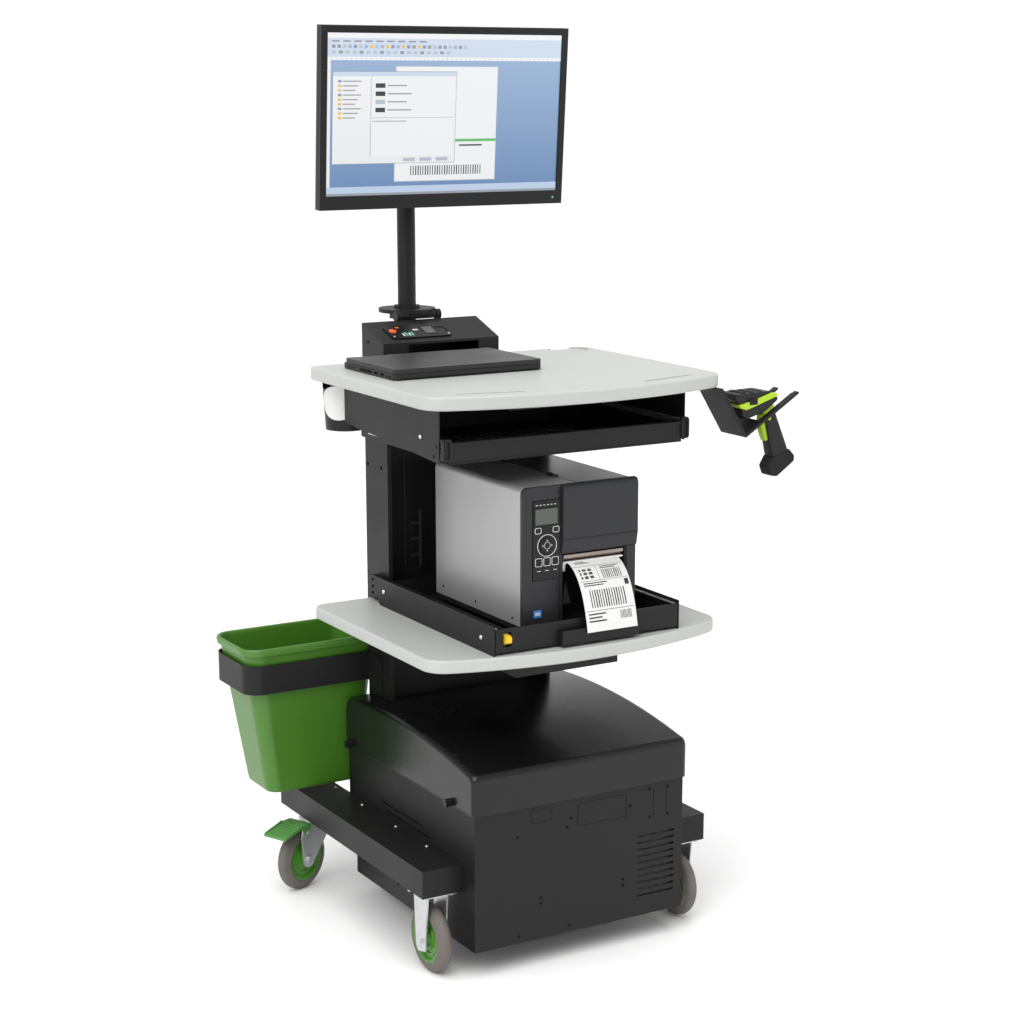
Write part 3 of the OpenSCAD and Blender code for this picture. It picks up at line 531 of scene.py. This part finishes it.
def wheel(name, body, place):
    """A green core with concentric steps, a crowned grey tread and a bright hub, about Z."""
    w = 16.0
    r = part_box(name)[1].z * 0.5 / MM
    piece = Piece(name + "_detail", place)
    tread = [(47.0, -w + 2), (49.0, -w + 0.6), (52.0, -w)] + arc((r - 13.0, 0), 13.0, -62, 62, 14)
    tread += [(52.0, w), (49.0, w - 0.6), (47.0, w - 2)]
    piece.lathe(tread, "z", (0, 0), TREAD, 72, closed=True)
    half = [(5.2, 17), (11.5, 17), (13, 16), (15, 10), (22, 9), (23, 6.5), (29, 6.2), (30, 8.6), (35, 8.4),
            (36, 6.6), (40, 6.6), (43, 12.4), (44.5, 13.6), (47.5, 14)]
    core = [(a, -b) for a, b in half] + [(a, b) for a, b in reversed(half)]
    piece.lathe(core, "z", (0, 0), WHEEL_GREEN, 72, closed=True)
    for s in (-1, 1):
        piece.lathe([(5.2, s * 17), (9.5, s * 17), (9.5, s * 17.8), (5.2, s * 17.8)], "z", (0, 0), ZINC, 24,
                    closed=True)
    piece.done(body, "tyre", name)


CASTER_X, CASTER_Y, WHEEL_R, TRAIL, YAW = 284.0, 267.0, 68.0, 36.0, 204.0


def rear_place(side):
    """The rear caster's own frame: swivel on Z, trail along +X. The right one is a mirror image."""
    place = Matrix.Translation((-CASTER_X, CASTER_Y, 0)) @ Matrix.Rotation(radians(YAW), 4, "Z")
    if side > 0:
        place = Matrix.Scale(-1, 4, (1, 0, 0)) @ place
    return place


ALONG_X = Matrix.Rotation(radians(90), 4, "Y")
ALONG_Y = Matrix.Rotation(radians(90), 4, "X")
for side, word, short in ((-1, "left", "l"), (1, "right", "r")):
    wheel("wheel_front_" + word, "wheel_f" + short,
          Matrix.Translation((side * CASTER_X, -CASTER_Y, WHEEL_R)) @ ALONG_X)
    wheel("wheel_rear_" + word, "wheel_r" + short,
          rear_place(side) @ Matrix.Translation((TRAIL, 0, WHEEL_R)) @ ALONG_Y)


def brake_pedal(side, word):
    """A ribbed foot lever with two pivot cheeks and a shoe over the tread."""
    piece = Piece("brake_pedal_" + word + "_detail", rear_place(side))
    deck = [(35, 144), (60, 145), (118, 132), (119.5, 134), (118, 136), (60, 149.5), (35, 149)]
    piece.prism(deck, "y", (-30, 30), PEDAL_GREEN, 1.2)
    piece.prism([(84, 143), (98, 139.5), (98, 128.5), (84, 128.5)], "y", (-12, 12), PEDAL_GREEN, 1.0)
    for s in (-1, 1):
        cheek = [(35, 146), (35, 131)] + arc((44, 131), 8, 180, 350, 10) + [(66, 146)]
        piece.prism(cheek, "y", (s * 24, s * 27.5), PEDAL_GREEN, 0.6)
        piece.screw("y", (44, 131), s * 27.5, s, 5, ZINC)
    slope = atan2(132 - 145, 118 - 60)
    for i in range(7):
        x = 64 + 8.2 * i
        z = 149.0 + (x - 60) * sin(slope) * 1.05
        piece.box((x, x + 3.2), (-27, 27), (z - 2.0, z + 1.6), PEDAL_GREEN, 0.7)
    for s in (-1, 1):
        lip = [(62, 147), (62, 152), (116, 139.5), (118, 134)]
        piece.prism(lip, "y", (s * 27.4, s * 30), PEDAL_GREEN, 0.7)
    piece.done("pedal_" + word, "green_plastic", "brake_pedal_" + word)


brake_pedal(-1, "left")
brake_pedal(1, "right")


# ---- Waste bin

def waste_bin():
    """A tapered bin with drafted walls and a rolled rim."""
    foot, head, wall = 237.0, 555.0, 3.0
    low = ((-406, -194), (201, 331), 26.0)
    high = ((-458, -163), (177, 351), 34.0)

    def ring(z, grow):
        t = (z - foot) / (head - foot)
        a = [low[0][k] + (high[0][k] - low[0][k]) * t for k in (0, 1)]
        b = [low[1][k] + (high[1][k] - low[1][k]) * t for k in (0, 1)]
        r = low[2] + (high[2] - low[2]) * t + grow
        outline = rounded((a[0] - grow, a[1] + grow), (b[0] - grow, b[1] + grow), r, 9)
        return [(x, y, z) for x, y in outline]

    piece = Piece("waste_bin_detail")
    outer = [ring(foot, -6), ring(foot + 1.5, -2.5), ring(foot + 5, -0.4), ring(foot + 12, 0)]
    outer += [ring(foot + 12 + 286 * i / 12, 0) for i in range(1, 13)]
    roll = ((17, 0.6), (16, 4.8), (14.5, 6.2), (7, 6.6), (2.5, 5.6), (0.2, 3.2), (0, 0.6), (1.2, -1.8),
            (5, -2.8))
    rim = [ring(head - down, grow) for down, grow in roll]
    inner = [ring(head - 8 - 302 * i / 12, -wall) for i in range(13)]
    inner += [ring(foot + 4.5, -5.5), ring(foot + 3.5, -12)]
    piece.loft(outer + rim + inner, GREEN)
    piece.done("bin", "green_plastic", "waste_bin")


waste_bin()


# ---- Keyboard and drawer

def keyboard():
    """Separate key caps on a low case."""
    piece = Piece("keyboard_detail")
    piece.box((-225, 215), (-270, -120), (994.2, 1004), SATIN, 2.5, 3)
    piece.box((-221, 211), (-267, -124), (1003.5, 1007), KEY, 1.0)
    pitch, depth, gap = 19.2, 22.5, 2.6
    for row in range(5):
        y = -262 + 26.5 * row
        count = 15 if row else 9
        x = -217.0
        for k in range(count):
            wide = pitch * (6.5 if row == 0 and k == 3 else 1.0 + 0.32 * (1 if k in (0, count - 1) else 0))
            piece.box((x, x + wide - gap), (y, y + depth), (1006, 1013.6), KEY, 1.3)
            x += wide
            if x > 200:
                break
    piece.done("drawer", "black_plastic", "keyboard")


def drawer_trim():
    """Grips at the drawer's front corners, two folded lips and a screw underneath."""
    piece = Piece("drawer_trim")
    for s in (-1, 1):
        a = (253.5, 270.5) if s > 0 else (-270.5, -253.5)
        frame_ring(piece, a, (996.5, 1037.5), 6, 1.6, "y", (-306.0, -303.9), LAPTOP)
        frame_ring(piece, (a[0] + 2.5, a[1] - 2.5), (999, 1035), 4, 2.0, "y", (-306.8, -305.8), SATIN)
    piece.box((-254, 254), (-303.6, -302), (1025.5, 1029.5), SHEET, 0.7)
    piece.box((-254, 254), (-303.4, -302), (990.5, 993.5), SHEET, 0.7)
    piece.screw("z", (20, -286), 990.5, -1, 4, SATIN, 3)
    piece.done("drawer", "black_sheet")


def under_worktop():
    """Screws and the stiffener under the worktop's front, and screws on the drawer housing's sides."""
    piece = Piece("under_worktop")
    under = WORKTOP_TOP - DECK_T
    for x in (-62, 12):
        piece.screw("y", (x, under - 9), -284, -1, 3.4, BRIGHT, 2.4)
    piece.box((-120, 150), (-283.9, -281.5), (under - 21, under), SHEET, 0.5)
    for s in (-1, 1):
        for y, z in ((-278, 1020), (-268, 1002), (-120, 1082), (40, 1082)):
            piece.screw("x", (y, z), s * HOUSING_HALF, s, 3.0, SATIN, 1.6)
    piece.done("root", "black_sheet")


keyboard()
drawer_trim()
under_worktop()


# ---- Column, cradle and cabinet fittings

def fittings():
    """Screws, rungs, flanges and pressed outlines on the folded sheet parts."""
    piece = Piece("sheet_metal_fittings")
    pressed = (CABINET_FRONT - 0.7, CABINET_FRONT + 0.4)
    for z in (731, 765, 797):
        piece.box((-131, -111), (87, 90), (z, z + 5), LAPTOP, 0.8)
    piece.box((-113, -108), (86, 90), (708, 826), LAPTOP, 0.8)
    piece.box((-134, -132), (110, 112.9), (706, 930), LAPTOP, 0.6)
    for x in (-182, 179):
        piece.box((x, x + 3), (77.6, 80), (650, 1095), SHEET_DEEP, 0.6)
    for z in (660, 673, 687):
        piece.screw("x", (116, z), -CRADLE_HALF, -1, 3.2, DARK_AND_HOLE_SHADE, 1.2)
    for y, z in ((66, 671), (-328, 667)):
        for s in (-1, 1):
            piece.screw("x", (y, z), s * CRADLE_HALF, s, 4.6, BRIGHT, 2.4)
    piece.screw("x", (-219, 1032), -HOUSING_HALF, -1, 4.2, BRIGHT, 2.0)
    for s in (-1, 1):
        for y in (-190, -60, 90, 215):
            piece.screw("z", (s * 251, y), RAIL_TOP, 1, 4.0, BRIGHT, 1.8)
    holes = ((-143, 271), (-32, 271), (-23, 288), (113, 289), (158, 316), (201, 314), (159, 258),
             (202, 257), (-91, 139), (-91, 127), (98, 139), (98, 127), (-27, 69), (-140, 69))
    # Painted shade: the front's holes are drawn as dark discs.
    for x, z in holes:
        piece.screw("y", (x, z), CABINET_FRONT, -1, 2.8, DARK_AND_HOLE_SHADE, 0.9)
    frame_ring(piece, (-8, 105), (268, 315), 4, 1.4, "y", pressed, BEZEL)
    frame_ring(piece, (-113, -66), (291, 318), 4, 1.4, "y", pressed, BEZEL)
    for x in (168, 198):
        piece.box((x, x + 1.4), pressed, (258, 317), BEZEL, 0.3)
    for s in (-1, 1):
        piece.box((s * 242.8 - 0.6, s * 242.8 + 0.6), (-346, 172), (329.5, 332.5), SATIN, 0.3)
    for y in (-230, -40, 110):
        for s in (-1, 1):
            piece.screw("x", (y, 90), s * CABINET_HALF, s, 3.0, DARK_AND_HOLE_SHADE, 1.0)
    piece.done("root", "black_sheet")


fittings()


# ---- Label printer

DOOR_FACE = (-33.0, 135.0)
NAV = (-64.5, 825.0)


def printer_details():
    """The media door's face, the label mouth, the panel's printed marks and the case screws."""
    piece = Piece("printer_door_face")
    profile = [(-327, 806), (-327.6, 804), (-331.0, 808), (-335.5, 833), (-335.0, 905)]
    profile += arc((-325, 927), 10, 180, 90, 8)
    profile += [(-318.6, 937.2), (-318.6, 934.5), (-326, 928), (-327, 900)]
    piece.prism(profile, "x", DOOR_FACE, CHARCOAL, 1.0, 2)
    piece.box((DOOR_FACE[0] + 1, DOOR_FACE[1] - 1), (-336.2, -335), (832.2, 833.6), SATIN, 0.3)
    piece.box((112, 133), (-331, -326), (668, 806), CHARCOAL, 1.6)
    piece.box((-37.2, -35.0), (-328.6, -326), (668, 930), SATIN, 0.5)
    piece.done("tray", "printer_grey")

    bar = Piece("tear_bar")
    edge = [(-327, 801), (-327, 795), (-320, 789), (-306, 789), (-306, 803), (-322, 804)]
    bar.prism(edge, "x", (-27, 107), COPPER, 1.0)
    bar.lathe([(3.2, -26), (3.2, 107)], "x", (-322, 785.5), BRIGHT, 20)
    bar.box((-28, -22), (-326, -312), (770, 786), ZINC, 0.8)
    bar.prism([(-24, 705), (-6, 705), (-18, 748)], "y", (-320, -317), LAPTOP, 0.6)
    # Painted shade: a dark back and floor stand in for the shade in the cavity behind the mouth.
    bar.box((-28, 109), (-275, -272), (670, 790), DARK_AND_HOLE_SHADE, 0.5)
    bar.box((-28, 109), (-320, -275), (669, 671), DARK_AND_HOLE_SHADE, 0.4)
    bar.done("tray", "platen_rubber")

    plate = Piece("printer_front_marks")
    frame_y = (-329.1, -327.9)
    frame_ring(plate, (-91.5, -39.5), (863.5, 896.5), 2, 1.4, "y", (-328.9, -327.5), SATIN)
    plate.box((-90.4, -40.6), (-328.3, -327.2), (864.6, 895.4), LCD, 0.3)
    for x in ((-91, -77), (-52, -38)):
        frame_ring(plate, x, (848.5, 860), 3, 1.0, "y", frame_y, MARK)
    loop = [(21.2, -329.1), (20.1, -329.1), (20.1, -327.9), (21.2, -327.9)]
    plate.lathe(loop, "y", NAV, MARK, 48, True)
    for x in (-82.5, -64.5, -46.5):
        frame_ring(plate, (x - 7.6, x + 7.6), (786, 802), 2.5, 1.0, "y", frame_y, MARK)
        plate.box((x - 4, x + 4), frame_y, (776.5, 777.7), MARK, 0.2)
    for i in range(6):
        plate.box((-89 + 8 * i, -85 + 8 * i), frame_y, (902, 903.3), MARK, 0.2)
    plate.box((-93, -76), (-328.4, -327), (688, 702), STICKER, 0.3)
    plate.box((-90, -79), (-328.9, -328), (692, 698), MARK, 0.3)
    plate.done("tray", "panel_gloss")

    pad = Piece("nav_pad_marks")
    for dx, dz in ((0, 9.6), (0, -9.6), (9.6, 0), (-9.6, 0)):
        pad.lathe([(1.3, -329.4), (1.3, -330.0)], "y", (NAV[0] + dx, NAV[1] + dz), MARK, 12)
    pad.lathe([(6.8, -330.0), (6.1, -330.0), (6.1, -329.3), (6.8, -329.3)], "y", NAV, MARK, 28, True)
    pad.done("nav", "key")

    case = Piece("printer_case_screws")
    for y, z in ((-20, 690), (-150, 686), (-290, 684)):
        case.screw("x", (y, z), PRINTER_LEFT, -1, 2.6, DARK_AND_HOLE_SHADE, 1.0)
    case.box((3.6, 4.9), (-317, -10), (934.5, 937.2), DARK_AND_HOLE_SHADE, 0.2)
    for y in ((-250, -222), (-70, -42)):
        case.box((-3, 9), y, (936.8, 939.8), SATIN, 1.0)
    case.done("tray", "silver_cover")


printer_details()


def strip_point(t, x, lift):
    """A point on the label strip's outer side: t along it, x across, lift above its back."""
    a, b, c = (-304.5, 787.6), (-372.0, 784.0), (-394.0, 664.0)
    y, z = [(1 - t) ** 2 * a[k] + 2 * t * (1 - t) * b[k] + t * t * c[k] for k in (0, 1)]
    dy, dz = [(1 - t) * (b[k] - a[k]) + t * (c[k] - b[k]) for k in (0, 1)]
    size = hypot(dy, dz)
    return (x, y + lift * dz / size, z - lift * dy / size)


def label_print():
    """Generic address-label graphics: blocks, rules and bar patterns that say nothing."""
    piece = Piece("label_print")

    def patch(t0, t1, x0, x1):
        steps = max(1, round((t1 - t0) / 0.07))
        points = []
        for lift in (0.82, 0.98):
            for i in range(steps + 1):
                t = t0 + (t1 - t0) * i / steps
                points += [strip_point(t, x0, lift), strip_point(t, x1, lift)]
        n = 2 * (steps + 1)
        faces = []
        for i in range(steps):
            a = 2 * i
            faces += [(a, a + 1, a + 3, a + 2), (n + a, n + a + 1, n + a + 3, n + a + 2)]
            faces += [(a, a + 2, n + a + 2, n + a), (a + 1, a + 3, n + a + 3, n + a + 1)]
        faces += [(0, 1, n + 1, n), (n - 2, n - 1, 2 * n - 1, 2 * n - 2)]
        piece.shape(points, faces, INK)

    def bars(t0, t1, x0, x1, count):
        step = (x1 - x0) / count
        for i in range(count):
            patch(t0, t1, x0 + i * step, x0 + (i + bar_share(i)) * step)

    def lines(t0, x0, x1, count, step):
        for i in range(count):
            patch(t0 + i * step, t0 + i * step + 0.012, x0, x1 - 9 * (i % 2))

    lines(0.14, -4, 26, 3, 0.03)
    patch(0.27, 0.274, -12, 94)
    for i in range(9):
        for k in range(8):
            if (i * 5 + k * 3 + i * k) % 3:
                patch(0.305 + i * 0.019, 0.322 + i * 0.019, -6 + 4 * k, -2.3 + 4 * k)
    patch(0.28, 0.50, 33, 33.6)
    lines(0.30, 42, 84, 2, 0.028)
    bars(0.36, 0.49, 42, 86, 10)
    patch(0.505, 0.509, -12, 94)
    lines(0.53, -6, 46, 2, 0.028)
    patch(0.53, 0.60, 84, 93)
    bars(0.62, 0.80, 2, 82, 15)
    patch(0.825, 0.829, -12, 94)
    lines(0.85, -8, 30, 3, 0.03)
    bars(0.85, 0.92, 62, 88, 9)
    piece.done("tray", "label_paper")


label_print()


# ---- Laptop

def laptop_details():
    """Ports on the base's left side, keys and touchpad on its deck, and the lid's screen."""
    side = Piece("laptop_ports")
    z = WORKTOP_TOP
    port = (-274.4, -272)
    # Painted shade: the port openings are dark insets on the side.
    for y in (-78, -66, -54):
        side.lathe([(2.3, -274.3), (1.6, -274.4), (1.5, -272)], "x", (y + 120, z + 7), DARK_AND_HOLE_SHADE, 14)
    side.box(port, (-30, 20), (z + 4.5, z + 8.5), DARK_AND_HOLE_SHADE, 0.4)
    side.box(port, (-110, -88), (z + 5, z + 7), DARK_AND_HOLE_SHADE, 0.3)
    side.box((-262, 36), (-125.4, -123), (z + 2.5, z + 4), DARK_AND_HOLE_SHADE, 0.3)
    for row in range(6):
        for k in range(14):
            x = -263 + 21.6 * k
            side.box((x, x + 18.4), (-20 + 15.2 * row, -7.6 + 15.2 * row), (z + 11.8, z + 12.25), KEY, 0.15)
    side.box((-165, -60), (-108, -38), (z + 11.8, z + 12.2), LAPTOP, 0.15)
    side.done("root", "laptop_case")
    glass = Piece("laptop_screen")
    glass.box((-262, 36), (-112, 74), (z + 12.3, z + 12.7), GLOSS, 0.15)
    glass.done("lid", "laptop_case")


laptop_details()


# ---- Control box

BOX_FOOT = Vector((0, 193, 1151))
SLOPE = atan2(1185 - 1151, 290 - 193)


def control_box_details():
    """A generic meter face on the slope, and screws and a slot frame on the box."""
    place = Matrix.Translation(BOX_FOOT) @ Matrix.Rotation(SLOPE, 4, "X")
    piece = Piece("meter_details", place)
    top = 3.1
    piece.box((-78, -70), (60, 66), (top, top + 0.4), ORANGE, 0.15)
    for i in range(4):
        mat = TEAL if i % 2 else MARK
        piece.box((-76 + 7 * i, -72 + 7 * i), (24, 36 + 4 * (i % 2)), (top, top + 0.4), mat, 0.15)
    piece.box((-44, -32), (46, 52), (top, top + 0.4), MARK, 0.15)
    frame_ring(piece, (-24, 6), (28, 64), 4, 1.5, "z", (top - 0.2, top + 0.5), SATIN)
    piece.box((-21, 3), (31, 61), (top - 0.4, top + 0.2), LCD, 0.15)
    for x in (-98, 28):
        piece.screw("z", (x, 24), top, 1, 2.4, ZINC, 1.0)
    piece.done("root", "panel_gloss")
    side = Piece("control_box_side")
    for y, z in ((218, 1118), (262, 1148), (270, 1112)):
        for s in (-1, 1):
            side.screw("x", (y, z), s * CONTROL_HALF, s, 3.4, DARK_AND_HOLE_SHADE, 0.8)
    frame_ring(side, (-80, 89), (1125, 1149), 2, 2.6, "y", (191.8, 193.2), SHEET)
    side.done("root", "black_sheet")


control_box_details()


# ---- Monitor

MONITOR_PIVOT = (0, 236, 1602)
MONITOR_LEAN = radians(4.2)
DISPLAY_Y = -66.05
DISPLAY_STEP = 0.22


def monitor_details():
    """A generic window layout on the display, and vents, screws and a lamp on the shell."""
    place = Matrix.Translation(MONITOR_PIVOT) @ Matrix.Rotation(MONITOR_LEAN, 4, "X")
    left, right, low, high = -263.5, 263.5, -149.0, 162.0
    wide, tall = right - left, high - low

    def panel(piece, x0, x1, z0, z1, mat, depth):
        """A flat patch at fractions of the display, depth steps in front of it."""
        face = DISPLAY_Y - DISPLAY_STEP * depth
        x = (left + wide * x0, left + wide * x1)
        z = (high - tall * z1, high - tall * z0)
        piece.box(x, (face - 0.2, face), z, mat)

    ui = Piece("display_layout", place)
    panel(ui, 0.0, 1.0, 0.0, 0.032, PANEL, 1)
    panel(ui, 0.0, 1.0, 0.032, 0.145, BAR, 1)
    panel(ui, 0.0, 1.0, 0.145, 0.165, PANEL, 1)
    panel(ui, 0.0, 0.016, 0.165, 0.945, PANEL, 1)
    panel(ui, 0.0, 1.0, 0.945, 1.0, BAR, 1)
    panel(ui, 0.0, 1.0, 0.985, 1.0, LINE, 2)
    for i in range(9):
        panel(ui, 0.02 + 0.045 * i, 0.05 + 0.045 * i, 0.045, 0.055, LINE, 2)
    for i in range(26):
        mat = (LINE, SHADE, AMBER, LINE, WORKSPACE)[(i * 3 + i // 4) % 5]
        panel(ui, 0.02 + 0.022 * i, 0.034 + 0.022 * i, 0.072, 0.092, mat, 2)
    for i in range(18):
        panel(ui, 0.02 + 0.028 * i, 0.036 + 0.028 * i, 0.108, 0.126, (SHADE, LINE, SHADE)[i % 3], 2)
    for i in range(48):
        panel(ui, 0.02 + 0.02 * i, 0.0212 + 0.02 * i, 0.150, 0.162, LINE, 2)
    panel(ui, 0.284, 0.722, 0.20, 0.92, SHADE, 1)
    panel(ui, 0.286, 0.72, 0.203, 0.915, PAGE, 2)
    panel(ui, 0.53, 0.72, 0.655, 0.672, LEAF, 3)
    count, first, last = 30, 0.353, 0.664
    step = (last - first) / count
    for i in range(count):
        panel(ui, first + i * step, first + (i + bar_share(i)) * step, 0.82, 0.88, PRINT, 3)
    panel(ui, 0.56, 0.66, 0.69, 0.70, PRINT, 3)
    panel(ui, 0.023, 0.542, 0.232, 0.803, LINE, 4)
    panel(ui, 0.025, 0.54, 0.235, 0.80, PANEL, 5)
    panel(ui, 0.025, 0.54, 0.235, 0.262, BAR, 6)
    panel(ui, 0.18, 0.53, 0.28, 0.755, PAGE, 6)
    panel(ui, 0.18, 0.183, 0.27, 0.755, SHADE, 7)
    panel(ui, 0.18, 0.53, 0.515, 0.519, SHADE, 7)
    for i in range(9):
        panel(ui, 0.045, 0.06, 0.285 + 0.028 * i, 0.30 + 0.028 * i, AMBER if i % 3 else LINE, 7)
        panel(ui, 0.065, 0.14 - 0.012 * (i % 3), 0.289 + 0.028 * i, 0.296 + 0.028 * i, LINE, 7)
    for i in range(4):
        panel(ui, 0.20, 0.24, 0.305 + 0.05 * i, 0.333 + 0.05 * i, PRINT if i != 2 else SHADE, 7)
        panel(ui, 0.25, 0.33 + 0.02 * (i % 2), 0.315 + 0.05 * i, 0.323 + 0.05 * i, LINE, 7)
    panel(ui, 0.19, 0.33, 0.535, 0.543, SHADE, 7)
    for i in range(3):
        panel(ui, 0.32 + 0.07 * i, 0.37 + 0.07 * i, 0.768, 0.79, SHADE, 7)
    ui.done("display", "display")

    case = Piece("monitor_case_details", place)
    for s in (-1, 1):
        case.box((s * 276, s * 277.8), (-62, -52), (-170, 170), SATIN, 0.5)
    for i in range(16):
        # Painted shade: the vent slots are dark patches laid on the shell.
        x = -150 + 20 * i
        case.prism(rounded((x, x + 12), (86, 92), 2.8, 4), "y", (-30.5, -29.0), DARK_AND_HOLE_SHADE)
        case.prism(rounded((x, x + 12), (74, 80), 2.8, 4), "y", (-30.5, -29.0), DARK_AND_HOLE_SHADE)
    for sx in (-1, 1):
        for sz in (-1, 1):
            case.screw("y", (sx * 50, sz * 50), -26, 1, 4.5, ZINC, 2.2)
    case.box((-150, -60), (-31, -28.6), (-112, -96), DARK_AND_HOLE_SHADE, 0.6)
    case.lathe([(2.2, -70), (2.0, -70.6), (0.2, -70.7)], "y", (255, -163), TEAL, 16)
    case.done("display", "black_plastic")


monitor_details()


# ---- Cup holder label

def cup_label():
    """A plain oval label on the cup's tapered side."""
    piece = Piece("cup_label")
    centre, mid_z, mid_a = (-249, 138), 1052.0, 222.0
    rings = []
    for k in range(7):
        reach = k / 6
        ring = []
        for i in range(36):
            t = 2 * pi * i / 36
            z = mid_z + 34 * reach * sin(t)
            a = radians(mid_a + 55 * reach * cos(t))
            r = 40.35 + (z - 996) * 5 / 90
            ring.append((centre[0] + r * cos(a), centre[1] + r * sin(a), z))
        rings.append(ring)
    piece.loft(rings[1:], PAPER, (True, False))
    piece.done("root", "label_paper")


cup_label()


# ---- Hand scanner

def hand_scanner():
    """A grip with a bumpered head, built from slabs about the plane of its handle."""
    y = GUN_Y
    piece = Piece("scanner_detail")

    def slab(outline, half, mat, round_off):
        piece.prism(outline, "y", (y - half, y + half), mat, round_off, 3)

    belly = [(358, 1038), (368, 1031), (413, 1044), (438, 1061), (444, 1067), (440, 1072), (390, 1058),
             (366, 1052), (354, 1054)]
    band = [(348, 1060), (353, 1054), (366, 1050), (388, 1056), (436, 1071), (442, 1073), (439, 1078),
            (427, 1080), (386, 1068), (366, 1064)]
    crown = [(342, 1072), (349, 1062), (366, 1063), (390, 1068), (426, 1078), (432, 1079), (423, 1083),
             (347, 1081)]
    slab(belly, 31, SATIN, 3.5)
    slab(band, 32.6, LIME, 1.6)
    slab(crown, 29, SATIN, 3.0)
    for i in range(3):
        x = 360 + 20 * i
        slab([(x, 1079.5), (x + 13, 1080.0), (x + 11, 1083.6), (x + 2, 1083.4)], 22, RUBBER, 0.8)
    for s in (-1, 1):
        piece.box((372, 392), (y + s * 31, y + s * 33), (1059, 1071), RUBBER, 1.0)
    grip = [(424, 1040), (443, 1056), (484, 962), (474, 950), (450, 942), (444, 954)]
    butt = [(446, 950), (434, 930), (441, 912), (457, 909), (499, 937), (499, 948), (485, 963)]
    collar = [(421, 1042), (430, 1024), (438, 1022), (446, 1052), (437, 1056)]
    window = [(342.6, 1071), (349.4, 1062.4), (350.2, 1063.2), (343.4, 1071.8)]
    slab(grip, 14.5, SATIN, 5.0)
    slab(butt, 17, RUBBER, 4.0)
    slab(collar, 15.4, LIME, 2.0)
    piece.prism(window, "y", (y - 22, y + 22), GLOSS, 0.2)
    piece.done("gun", "black_plastic", "scanner")


def holder_trim():
    """Folded lower flanges, and a painted highlight on the two prongs: light metal strips on their
    upward-facing top edges.
    """
    piece = Piece("holder_prong_edges")
    # Painted highlight: a thin light metal strip along each prong's top edge, where the light falls.
    for span in ((-367.6, -356.4), (-301.6, -290.4)):
        piece.prism([(400, 1021.4), (485.5, 1073.6), (486.2, 1075.0), (400, 1022.6)], "y", span, ALLOY, 0.3)
    for y in (-356.6, -303.4):
        flange = [(362, 999), (470, 1065), (478, 1072), (478, 1076), (362, 1005)]
        piece.prism(flange, "y", (y, y + 2.0), SHEET, 0.5)
    piece.done("root", "black_sheet")


hand_scanner()
holder_trim()


# ---- Floor, light and world

def stage():
    """A pale floor that reaches well past the view."""
    mesh = bpy.data.meshes.new("floor")
    reach = 14.0
    mesh.from_pydata([(-reach, -reach, 0), (reach, -reach, 0), (reach, reach, 0), (-reach, reach, 0)], [],
                     [(0, 1, 2, 3)])
    floor = bpy.data.objects.new("floor", mesh)
    floor.data.materials.append(FLOOR)
    bpy.context.scene.collection.objects.link(floor)


def area_light(name, place, aim, size, power):
    data = bpy.data.lights.new(name, "AREA")
    data.shape = "RECTANGLE"
    data.size = size[0]
    data.size_y = size[1]
    data.energy = power
    light = bpy.data.objects.new(name, data)
    light.location = place
    light.rotation_euler = (Vector(aim) - Vector(place)).to_track_quat("-Z", "Y").to_euler()
    bpy.context.scene.collection.objects.link(light)


def sun_light(energy, spread, turn):
    data = bpy.data.lights.new("sun", "SUN")
    data.energy = energy
    data.angle = spread
    light = bpy.data.objects.new("sun", data)
    light.rotation_euler = turn
    bpy.context.scene.collection.objects.link(light)


stage()
area_light("key", (-3.6, -2.4, 3.4), (0, 0, 0.7), (2.4, 2.4), 46)
area_light("top", (0.4, 0.6, 4.2), (0, 0, 0.5), (3.2, 3.2), 34)
area_light("fill", (3.4, -3.0, 2.0), (0, 0, 0.8), (2.4, 2.4), 14)
sun_light(2.1, radians(60), (radians(18), radians(-22), 0))


def studio_world():
    """White near and below the horizon, softer grey overhead."""
    world = bpy.data.worlds.new("studio")
    world.use_nodes = True
    tree = world.node_tree
    coord = tree.nodes.new("ShaderNodeTexCoord")
    split = tree.nodes.new("ShaderNodeSeparateXYZ")
    ramp = tree.nodes.new("ShaderNodeValToRGB")
    ramp.color_ramp.elements[0].position = 0.10
    ramp.color_ramp.elements[0].color = (1.0, 1.0, 1.0, 1.0)
    ramp.color_ramp.elements[1].position = 0.45
    ramp.color_ramp.elements[1].color = (0.60, 0.60, 0.60, 1.0)
    tree.links.new(coord.outputs["Generated"], split.inputs["Vector"])
    tree.links.new(split.outputs["Z"], ramp.inputs["Fac"])
    tree.links.new(ramp.outputs["Color"], tree.nodes["Background"].inputs["Color"])
    tree.nodes["Background"].inputs["Strength"].default_value = 1.03
    bpy.context.scene.world = world


studio_world()
bpy.context.scene.view_settings.view_transform = "Standard"
